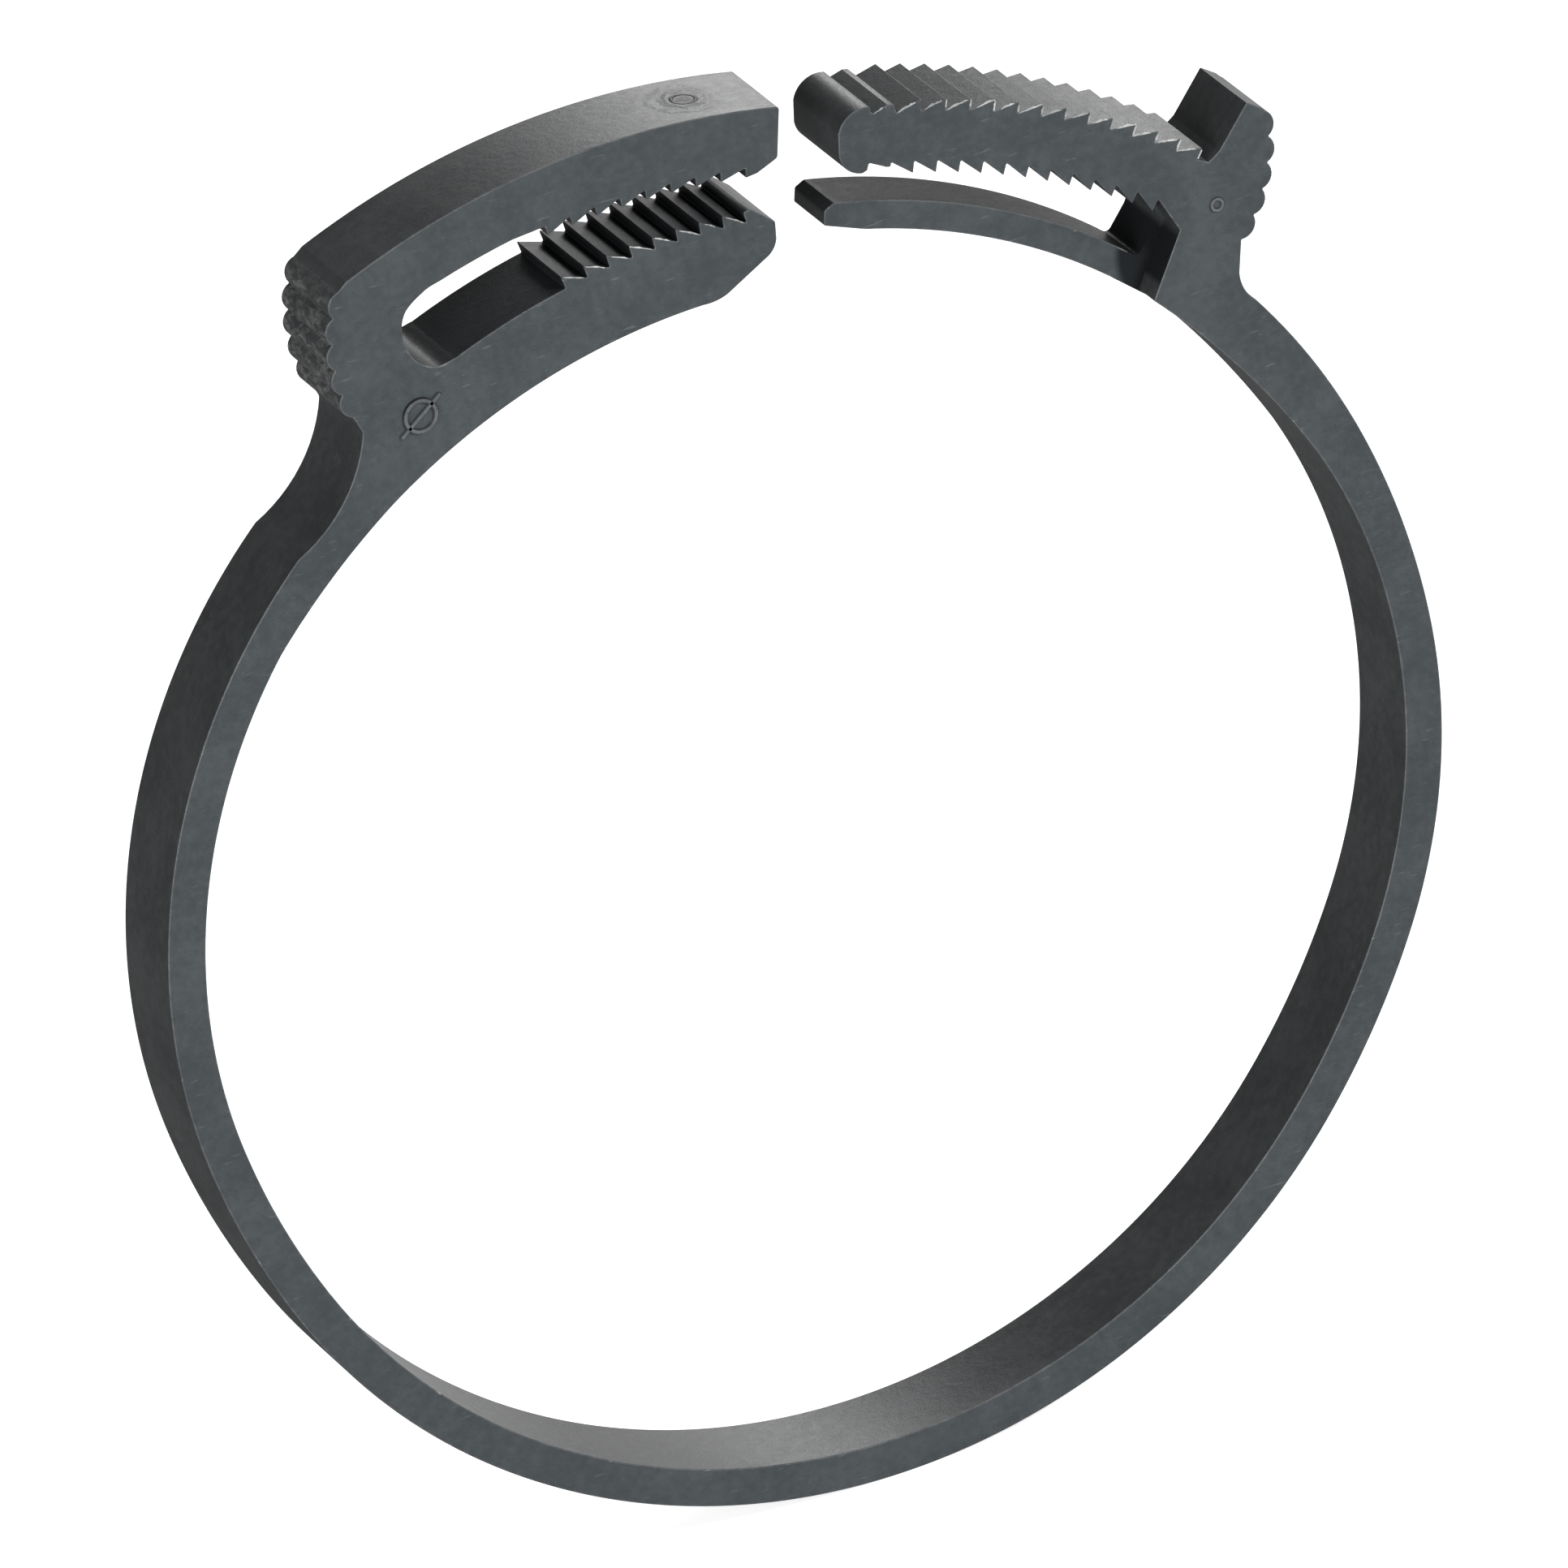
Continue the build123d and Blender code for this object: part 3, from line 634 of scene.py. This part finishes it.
def nylon(name, low, high, roughness, bump, grain, wear, worn=WORN, scratches=0.3):
    """Glass-filled nylon: mottled tone, fine moulded grain, faint fibre specks and worn spots; the sides
    add grip wear, a painted sheen at the prong's tip and painted shade in the slot and under the tongue,
    and the faces add painted shade in the recess beside the guard's root.
    """
    g = Graph(name)
    cloud = g.noise(0.16, 4.0)
    mottle = g.noise(1.3, 5.0, 0.65)
    fine = g.noise(9.0, 3.0, 0.7)
    speck = g.ramp(g.noise(14.0, 1.0), 0.70, 0.78)
    scuff = g.ramp(g.noise(0.55, 6.0, 0.75, 0.6), 0.60, 0.74)
    tone = g.add(g.times(cloud, 0.5), g.times(mottle, 0.5))
    colour = g.mix(g.ramp(tone, 0.36, 0.66), low, high)
    colour = g.mix(g.times(speck, 0.10), colour, (0.30, 0.31, 0.31))
    colour = g.mix(g.times(scuff, wear), colour, worn)
    height = g.add(g.add(g.times(fine, grain), mottle), g.times(scuff, wear * 1.5))
    rough = g.add(g.ramp(fine, 0.3, 0.7, roughness - 0.05, roughness + 0.05),
                  g.times(g.calculate("SUBTRACT", mottle, 0.5), 0.16))
    hollow_shade = None
    if name == "nylon_sides_painted_shade":
        colour, height = grip_wear(g, colour, height)
        colour, height = prong_top(g, colour, height, mottle)
        hollow_shade = shade_in_hollows(g)
    else:
        scratch = g.ramp(g.noise(1.0, 2.0, 0.5, 0.3, (0.5, 5.0, 4.0)), 0.66, 0.74)
        colour = g.mix(g.times(scratch, scratches), colour, worn)
    if name == "nylon_faces":
        # On the faces, painted shade in the recess beside the guard's root.
        hollow_shade = g.ramp(g.away_from(*RECESS_SHADE), 1.0, 0.7)
    # Painted shade: the colour darkens towards SHADE and the specular is lowered there.
    if hollow_shade:
        colour = g.mix(g.times(hollow_shade, 0.93), colour, SHADE)
        shaded_specular = g.calculate("SUBTRACT", 0.5, g.times(hollow_shade, 0.45))
        g.links.new(shaded_specular, g.shader.inputs["Specular IOR Level"])
    g.shader.inputs["IOR"].default_value = 1.53
    bump_node = g.nodes.new("ShaderNodeBump")
    bump_node.inputs["Strength"].default_value = bump
    bump_node.inputs["Distance"].default_value = BUMP_DISTANCE
    for output, socket in ((colour, g.shader.inputs["Base Color"]), (rough, g.shader.inputs["Roughness"]),
                           (height, bump_node.inputs["Height"]),
                           (bump_node.outputs["Normal"], g.shader.inputs["Normal"])):
        g.links.new(output, socket)
    return g.material


# In the order that KIND_MATERIAL counts them.
materials = [
    nylon("nylon_faces", (0.030, 0.036, 0.040), (0.045, 0.052, 0.055), 0.56, 0.55, 0.8, 0.03,
          scratches=0.10),
    # The sides: a darker copy of the nylon, painted shade for walls that face away from the light.
    nylon("nylon_sides_painted_shade", (0.019, 0.021, 0.022), (0.033, 0.035, 0.036), 0.42, 0.45, 0.5, 0.05),
    # The front edges and the marks' tops: a lighter copy of the nylon, partly real edge wear and partly
    # painted highlight.
    nylon("nylon_edges_wear_and_highlight", (0.05, 0.056, 0.06), (0.09, 0.095, 0.096), 0.38, 0.8, 0.8, 0.75,
          worn=(0.42, 0.42, 0.41)),
    # The flash: a much lighter, glossier copy of the nylon, painted glints.
    nylon("nylon_flash_painted_glint", (0.16, 0.17, 0.17), (0.42, 0.42, 0.41), 0.25, 0.8, 0.8, 0.5, worn=(0.6, 0.6, 0.6)),
]


# ------------------------------------------------------------------ where the band runs into the jaws
RIB_STEPS = 8


def directions(start, end, step=0.8):
    n = max(2, int(abs(end - start) / step) + 1)
    return [start + (end - start) * i / n for i in range(n + 1)]


def ribs(first, middle, last, outward, count=5, bulge=0.5):
    """Rounded grip ribs along the arc through three points."""
    spine = arc3(first, middle, last, count * 2)
    out = []
    for i in range(count):
        a, crest, b = spine[2 * i], spine[2 * i + 1], spine[2 * i + 2]
        tx, tz = b[0] - a[0], b[1] - a[1]
        length = math.hypot(tx, tz)
        top = (crest[0] + tz / length * outward * bulge, crest[1] - tx / length * outward * bulge)
        out += corners(a, radius=0.09) + run(arc3(a, top, b, RIB_STEPS)[1:-1])
    return out + corners(last, radius=0.09)


def left_inner_line():
    inner = [band_point(-o, 0) for o in directions(60, NECK_OFFSET)]
    return inner[:-1] + arc3(inner[-1], SOCKET_INNER_MIDDLE, SOCKET_INNER_END, 16)


def left_outer_line():
    outer = [band_point(-o, BAND_THICKNESS) for o in directions(60, SOCKET_NECK_OFFSET)]
    return outer[:-1] + arc3(outer[-1], SOCKET_NECK, SOCKET_NECK_TOP, 12)


def right_inner_line():
    inner = [band_point(o, 0) for o in directions(60, NECK_OFFSET)]
    return inner[:-1] + arc3(inner[-1], STEP_MIDDLE, STEP_BOTTOM, 16)


def right_outer_line():
    outer = [outer_point(o) for o in directions(60, NECK_OFFSET)]
    outer = outer[:-1] + arc3(outer[-1], NECK_MIDDLE, NECK_TOP, 12)
    return outer[:-1] + arc3(NECK_TOP, NECK_CORNER, NECK_SIDE, 8)


LINES = {-1: (left_inner_line(), left_outer_line()), 1: (right_inner_line(), right_outer_line())}


def station(offset):
    """Inner and outer point of the band at an offset, with the swelling towards the jaws."""
    if abs(offset) <= LINES_START:
        return band_point(offset, 0), band_point(offset, BAND_THICKNESS)
    side = 1 if offset > 0 else -1
    centre = shoulder_centre(side)
    return tuple(ray_to_line(centre, BOTTOM + offset, line) for line in LINES[side])


def after(line, point):
    """The part of a polyline that lies past a point on it."""
    best = min(range(len(line)), key=lambda i: distance(line[i], point))
    rest = line[best:]
    if len(rest) > 1 and distance(rest[1], point) < distance(rest[1], rest[0]):
        rest = rest[1:]
    return [p for p in rest if distance(p, point) > 0.05]


# ------------------------------------------------------------------ socket jaw
def upper_outer(direction):
    return ray_to_circle(SOCKET, direction, UPPER_OUTER, UPPER_OUTER_RADIUS)


def spiral(direction, first, last):
    """A point whose distance from the racks' centre runs evenly from that of first to that of last."""
    start, end = direction_of(first, SOCKET), direction_of(last, SOCKET)
    r0, r1 = distance(first, SOCKET), distance(last, SOCKET)
    return polar(SOCKET, r0 + (direction - start) / (end - start) * (r1 - r0), direction)


def slot_top(direction):
    return spiral(direction, SLOT_TOP_END, SLOT_TOP_ROOT)


def slot_end():
    """The slot's closed end, and where the prong's cut meets it."""
    root = direction_of(SLOT_TOP_ROOT, SOCKET)
    curve = smooth_curve([slot_top(root - 1.5), SLOT_TOP_ROOT, *SLOT_END, SLOT_BOTTOM_ROOT])
    return curve, ray_to_line(SOCKET, PRONG_CUT, curve)


def lower_rack():
    out = []
    for tooth in range(LOWER_TEETH, -1, -1):
        valley = LOWER_START + tooth * PITCH
        out += corners(polar(SOCKET, LOWER_VALLEY, valley), radius=VALLEY)
        if tooth:
            out += corners(polar(SOCKET, LOWER_VALLEY + LOWER_HEIGHT, valley + LOWER_LEAN), radius=TIP)
    return out


def front_lip():
    """The lower arm's underside in front, from its tip."""
    out = corners(LIP_TIP[0], radius=0.2) + run(arc3(*LIP_TIP, 6)[1:])
    out += run(arc3(*LIP_STEP, polar(LIP, LIP_RADIUS, 90), 8))
    return out + run(arc(LIP, LIP_RADIUS, 90.8, direction_of(LINES[-1][0][-1], LIP)))


def pocket():
    """The lower arm's underside behind the lip, cut away for the guard tail."""
    roof = arc3(*(polar(SOCKET, radius, d) for d, radius in POCKET_ROOF), 40)
    roof = [p for p in roof if p[0] < POCKET_MOUTH[0] - 0.03]
    wall = ray_to_circle(SOCKET, POCKET_ROOF[-1][0], LIP, LIP_RADIUS)
    out = corners(POCKET_MOUTH, radius=0.1) + run(roof[:-1]) + corners(roof[-1], radius=0.4)
    out += corners(wall, radius=0.3)
    end = direction_of(LINES[-1][0][-1], LIP)
    return out + run(arc(LIP, LIP_RADIUS, direction_of(wall, LIP) + 0.6, end))


def socket_outline(underside):
    inner, outer = station(-SPLITS[-1])
    out = [(*inner, 0, "cut")]
    out += run([outer] + after(LINES[-1][1], outer)[:-1])
    out += corners(SOCKET_NECK_TOP, radius=0.5)
    out += ribs(*SOCKET_RIBS, -1)
    out += corners(SOCKET_CORNER, radius=0.3)
    top = [upper_outer(d) for d in directions(direction_of(SOCKET_CORNER, SOCKET) - 0.8, PRONG_CUT)]
    curve, hit = slot_end()
    out += run(top[:-1]) + [(*top[-1], 0, "cut")] + run([hit] + after(curve, hit))
    root = direction_of(SLOT_BOTTOM_ROOT, SOCKET)
    rack_end = polar(SOCKET, LOWER_VALLEY, LOWER_START + LOWER_TEETH * PITCH)
    span = direction_of(rack_end, SOCKET) - root
    out += run([spiral(root + span * i / 12, SLOT_BOTTOM_ROOT, rack_end) for i in range(1, 12)])
    out += lower_rack()
    for tip, radius in zip(LOWER_MOUTH, (0.2, 0.3, 0.25)):
        out += corners(tip, radius=radius)
    out += underside
    tail = [p for p in LINES[-1][0][::-1]
            if direction_of(p, shoulder_centre(-1)) % 360 < BOTTOM - SPLITS[-1] - 0.4]
    return out + run(tail[1:])


def upper_rack():
    out = []
    for tooth in range(UPPER_TEETH):
        valley = UPPER_START + tooth * PITCH
        radius = UPPER_MOUTH + UPPER_RATE * tooth * PITCH
        if tooth == 0:
            out += corners(polar(SOCKET, radius - UPPER_HEIGHT, valley), radius=TIP)
        out += corners(polar(SOCKET, radius, valley), radius=VALLEY)
        if tooth < UPPER_TEETH - 1:
            out += corners(polar(SOCKET, radius + 0.1 - UPPER_HEIGHT, valley + PITCH), radius=TIP)
    return out


def prong_outline():
    root, end = direction_of(SLOT_TOP_ROOT, SOCKET), direction_of(SLOT_TOP_END, SOCKET)
    top = [upper_outer(d) for d in directions(PRONG_CUT, direction_of(PRONG_CORNER, SOCKET))]
    curve, hit = slot_end()
    out = run(top[:-1]) + corners(PRONG_CORNER, radius=0.25) + corners(UPPER_MOUTH_END[0], radius=0.3)
    out += corners(*UPPER_MOUTH_END[1:], radius=0.15) + upper_rack()
    out += corners(slot_top(end), radius=VALLEY)
    out += run([slot_top(d) for d in directions(end, root - 1.5)][1:])
    out += run([p for p in curve[1:] if direction_of(p, SOCKET) < PRONG_CUT - 0.05 and p[1] > 49.6])
    return out + [(*hit, 0, "cut")]


# ------------------------------------------------------------------ plug jaw
def outer_foot(tooth):
    direction = OUTER_START + tooth * OUTER_PITCH - OUTER_LEAN
    return polar(PLUG, OUTER_TIP - OUTER_DEPTH, direction)


def outer_crest(tooth):
    return polar(PLUG, OUTER_TIP, OUTER_START + tooth * OUTER_PITCH)


def tongue():
    """From the lug's foot round the tongue to its root, with both racks and the nose."""
    root = polar(PLUG, OUTER_TIP - OUTER_DEPTH, TONGUE_ROOT)
    out = run(arc3(LUG_FOOT, LUG_HOLLOW, root, 8)[:-1])
    for tooth in range(OUTER_TEETH):
        out += corners(outer_foot(tooth), radius=VALLEY) + corners(outer_crest(tooth), radius=TIP)
    out += corners(NOSE_STEP[0], radius=0.08) + corners(*NOSE_STEP[1:3], radius=0.12)
    out += corners(NOSE_STEP[3], radius=0.08) + corners(NOSE_TOP[0], radius=0.12)
    out += run(arc3(*NOSE_TOP, 14)[1:]) + run(arc3(*NOSE_BOTTOM, 12))
    out += corners(NOSE_NOTCH[0], radius=0.15) + corners(*NOSE_NOTCH[1:], radius=0.12)
    end = INNER_START + INNER_TEETH * PITCH
    out += corners(polar(PLUG, INNER_TIP + INNER_DEPTH, end), radius=VALLEY)
    for tooth in reversed(range(INNER_TEETH)):
        tip = INNER_START + tooth * PITCH
        out += corners(polar(PLUG, INNER_TIP, tip), radius=TIP)
        out += corners(polar(PLUG, INNER_TIP + INNER_DEPTH, tip), radius=VALLEY)
    return out


def front_step():
    """In front, the head ends in a step beside the guard's root."""
    return corners(STEP_TOP, STEP_BOTTOM, radius=0.15)


def guard_root():
    """Behind, the head runs on into the guard tail."""
    inner = GUARD_OUTER - GUARD_THICKNESS
    out = corners((STEP_TOP[0] - 0.4, STEP_TOP[1] + 0.2), radius=1.2)
    out += corners(polar((0, 0), GUARD_OUTER, GUARD_START + 0.4), radius=0.9)
    return out + [(*polar((0, 0), GUARD_OUTER - 0.02, GUARD_CUT), 0, "cut"),
                  (*polar((0, 0), inner, GUARD_CUT), 0, "")]


def plug_outline(ending):
    inner, outer = station(SPLITS[-1])
    out = [(*inner, 0, "cut")] + run([outer] + after(LINES[1][1], outer))
    out += ribs(*PLUG_RIBS, 1)
    out += corners(LUG_TOP, LUG_TIP, radius=0.1) + tongue() + ending
    tail = LINES[1][0][:-1][::-1]
    start = BOTTOM - 360 + SPLITS[-1] + 0.3
    return out + run([p for p in tail if direction_of(p, shoulder_centre(1)) > start])


def guard_outline():
    inner = GUARD_OUTER - GUARD_THICKNESS
    upper = arc((0, 0), GUARD_OUTER, GUARD_CUT, GUARD_TIP - 0.8)
    out = [(*polar((0, 0), inner, GUARD_CUT), 0, "cut")]
    out += run(upper[:-1]) + corners(upper[-1], radius=0.3)
    out += corners(polar((0, 0), GUARD_OUTER - 0.5, GUARD_TIP), radius=0.25)
    out += corners(polar((0, 0), inner + 0.5, GUARD_TIP), radius=0.2)
    return out + run(arc((0, 0), inner, GUARD_TIP - 4, GUARD_CUT)[:-1])


# ------------------------------------------------------------------ surface details
FRONT_FLASH_CHANCE = 0.75                           # that a tooth of the tongue also has flash in front


def tongue_flash():
    """Slivers along the front edges of the tongue's outer teeth, and one on its nose."""
    slivers = []
    for tooth in range(OUTER_TEETH):
        tip = OUTER_START + tooth * OUTER_PITCH
        foot, crest, next_foot = outer_foot(tooth), outer_crest(tooth), outer_foot(tooth + 1)
        slivers.append(flash(crest, next_foot, polar((0, 0), 1, tip + 1), 0.17))
        if rng.random() < FRONT_FLASH_CHANCE:
            slivers.append(flash(foot, crest, polar((0, 0), 1, tip + 90), 0.12, 4))
    slivers.append(flash(NOSE_STEP[1], NOSE_STEP[3], (0, 1), 0.16))
    return slivers


def rack_flash():
    """Slivers along the front edges of the socket's lower teeth."""
    slivers = []
    for tooth in range(1, LOWER_TEETH + 1):
        valley = LOWER_START + tooth * PITCH
        crest = polar(SOCKET, LOWER_VALLEY + LOWER_HEIGHT, valley + LOWER_LEAN)
        low = polar(SOCKET, LOWER_VALLEY, valley - PITCH)
        slivers.append(flash(crest, low, polar((0, 0), 1, valley - 20), 0.1, 5))
    return slivers


def size_mark():
    """A plain diameter sign on the socket's front, in the place of the size number."""
    stroke = [(-1.25, -1.55), (1.25, 1.55)]
    return joined(ridge(turned(circle(SIZE_SIGN_RADIUS, 24), SIZE_SIGN, SIZE_SIGN_TURN), closed=True),
                  ridge(turned(stroke, SIZE_SIGN, SIZE_SIGN_TURN)))


def cavity_mark():
    """A plain ring on the plug's front."""
    return ridge(turned(circle(CAVITY_RING_RADIUS, 16), CAVITY_RING, 0), 0.34, 0.14, closed=True)


def middle(offset):
    """Halfway between the band's inner and outer face."""
    a, b = station(offset)
    return ((a[0] + b[0]) / 2, (a[1] + b[1]) / 2)


def band_piece(name, start, end, replaced):
    """The band between two offsets, in place of the replaced parts."""
    stations = [station(o) for o in directions(start, end, 0.5)]
    obj = build(name, strip(stations))
    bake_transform(obj)
    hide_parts(*replaced)
    return obj


def make_band():
    band_piece("band_bottom_skin", -SPLITS[0], SPLITS[0],
               ["band_bottom_left", "band_bottom_right"])
    for side, word in ((-1, "left"), (1, "right")):
        chain = ["band_bottom" if side < 0 else "band_bottom_right"]
        chain += [f"band_{word}_{k}" for k in range(1, 5)]
        chain += ["socket_head" if side < 0 else "plug_head"]
        for k in range(5):
            stands_for = [f"band_{word}_{k + 1}"] if k < 4 else []
            band_piece(f"band_{word}_skin_{k + 1}", side * SPLITS[k], side * SPLITS[k + 1],
                       stands_for)


def make_socket():
    split = FRONT + LIP_WIDTH
    socket = build("socket_skin", joined(
        slab(socket_outline(front_lip()), FRONT, split, edge1=0),
        slab(socket_outline(pocket()), split, BACK, edge0=0), size_mark(), *rack_flash()))
    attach(socket, "socket_head")
    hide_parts("socket_head", "lower_prong", "lower_teeth")
    prong = build("prong_skin", slab(prong_outline(), FRONT, BACK))
    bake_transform(prong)
    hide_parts("upper_prong", "upper_teeth")


def make_plug():
    step = BACK - GUARD_WIDTH
    plug = build("plug_skin", joined(
        slab(plug_outline(front_step()), FRONT, step, edge1=0),
        slab(plug_outline(guard_root()), step, BACK, edge0=0), cavity_mark(), *tongue_flash()))
    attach(plug, "plug_head")
    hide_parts("plug_head", "tongue")
    guard = build("guard_skin", slab(guard_outline(), step, BACK))
    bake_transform(guard)
    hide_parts("guard_tail")


make_band()
make_socket()
make_plug()


# ------------------------------------------------------------------ stage, light and camera
def make_floor():
    bpy.ops.mesh.primitive_plane_add(size=6.0, location=(0, 0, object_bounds()[0].z))
    floor = bpy.context.object
    floor.name = "floor"
    material = bpy.data.materials.new("floor")
    material.use_nodes = True
    shader = material.node_tree.nodes["Principled BSDF"]
    shader.inputs["Base Color"].default_value = (0.55, 0.55, 0.55, 1)
    shader.inputs["Roughness"].default_value = 0.8
    shader.inputs["Emission Color"].default_value = (1, 1, 1, 1)
    shader.inputs["Emission Strength"].default_value = 0.80
    floor.data.materials.append(material)
    floor.visible_glossy = False


def area_light(name, location, target, size, power):
    data = bpy.data.lights.new(name, "AREA")
    data.energy = power
    data.size = size
    light = bpy.data.objects.new(name, data)
    light.location = location
    light.rotation_mode = "QUATERNION"
    light.rotation_quaternion = (Vector(target) - Vector(location)).to_track_quat("-Z", "Y")
    bpy.context.scene.collection.objects.link(light)
    return light


def make_lights():
    key = area_light("key", (0.50, -0.66, 0.60), (0, 0, 0.01), 0.22, 11.5)
    key.visible_glossy = False                      # seen from behind, its mirror image would burn out
    area_light("fill", (-1.0, -0.75, 0.35), (0, 0, 0), 0.7, 13)
    area_light("rim", (0.50, 0.90, 0.50), (0, 0, 0.055), 0.32, 2.5)


SCREEN_TOWARDS = (0.52, 0.84, -0.12)
SCREEN_RAMP = (("From Min", 0.84), ("From Max", 0.99), ("To Min", 0.12), ("To Max", 1.15))


def make_world():
    """A dark studio with a bright screen behind the clamp, to its right; the camera itself sees white."""
    world = bpy.data.worlds.new("studio")
    bpy.context.scene.world = world
    world.use_nodes = True
    nodes, links = world.node_tree.nodes, world.node_tree.links
    looking = nodes.new("ShaderNodeTexCoord")
    along = nodes.new("ShaderNodeVectorMath")
    along.operation = "DOT_PRODUCT"
    along.inputs[1].default_value = Vector(SCREEN_TOWARDS).normalized()
    links.new(looking.outputs["Generated"], along.inputs[0])
    screen = nodes.new("ShaderNodeMapRange")
    screen.interpolation_type = "SMOOTHSTEP"
    for key, value in SCREEN_RAMP:
        screen.inputs[key].default_value = value
    links.new(along.outputs["Value"], screen.inputs["Value"])
    seen_by = nodes.new("ShaderNodeLightPath")
    strength = screen.outputs["Result"]
    for ray, value in (("Is Diffuse Ray", 0.26), ("Is Camera Ray", 1.0)):
        choose = nodes.new("ShaderNodeMix")
        links.new(seen_by.outputs[ray], choose.inputs[0])
        links.new(strength, choose.inputs[2])
        choose.inputs[3].default_value = value
        strength = choose.outputs[0]
    background = nodes["Background"]
    background.inputs["Color"].default_value = (1, 1, 1, 1)
    links.new(strength, background.inputs["Strength"])


# The camera as fitted to the photograph: its axes, its place about the ring's centre in millimetres,
# and its focal length in the photograph's pixels.
RIGHT = Vector((0.8996, -0.4126, -0.143))
DOWN = Vector((-0.3, -0.3458, -0.8891))
AHEAD = Vector((0.3174, 0.8427, -0.4349))
CAMERA_PLACE = (-591.78, -1571.84, 815.32)
FOCAL_PIXELS, PHOTO_PIXELS, SENSOR = 33200, 1932, 36.0


def make_camera():
    data = bpy.data.cameras.new("camera")
    data.sensor_width = SENSOR
    data.lens = FOCAL_PIXELS / PHOTO_PIXELS * SENSOR
    data.clip_start, data.clip_end = 0.1, 20
    camera = bpy.data.objects.new("camera", data)
    camera.rotation_mode = "QUATERNION"
    camera.rotation_quaternion = Matrix((RIGHT, -DOWN, -AHEAD)).transposed().to_quaternion()
    camera.location = to_frame(*CAMERA_PLACE)
    bpy.context.scene.collection.objects.link(camera)
    bpy.context.scene.camera = camera


make_floor()
make_lights()
make_world()
make_camera()
bpy.context.scene.view_settings.view_transform = "Standard"
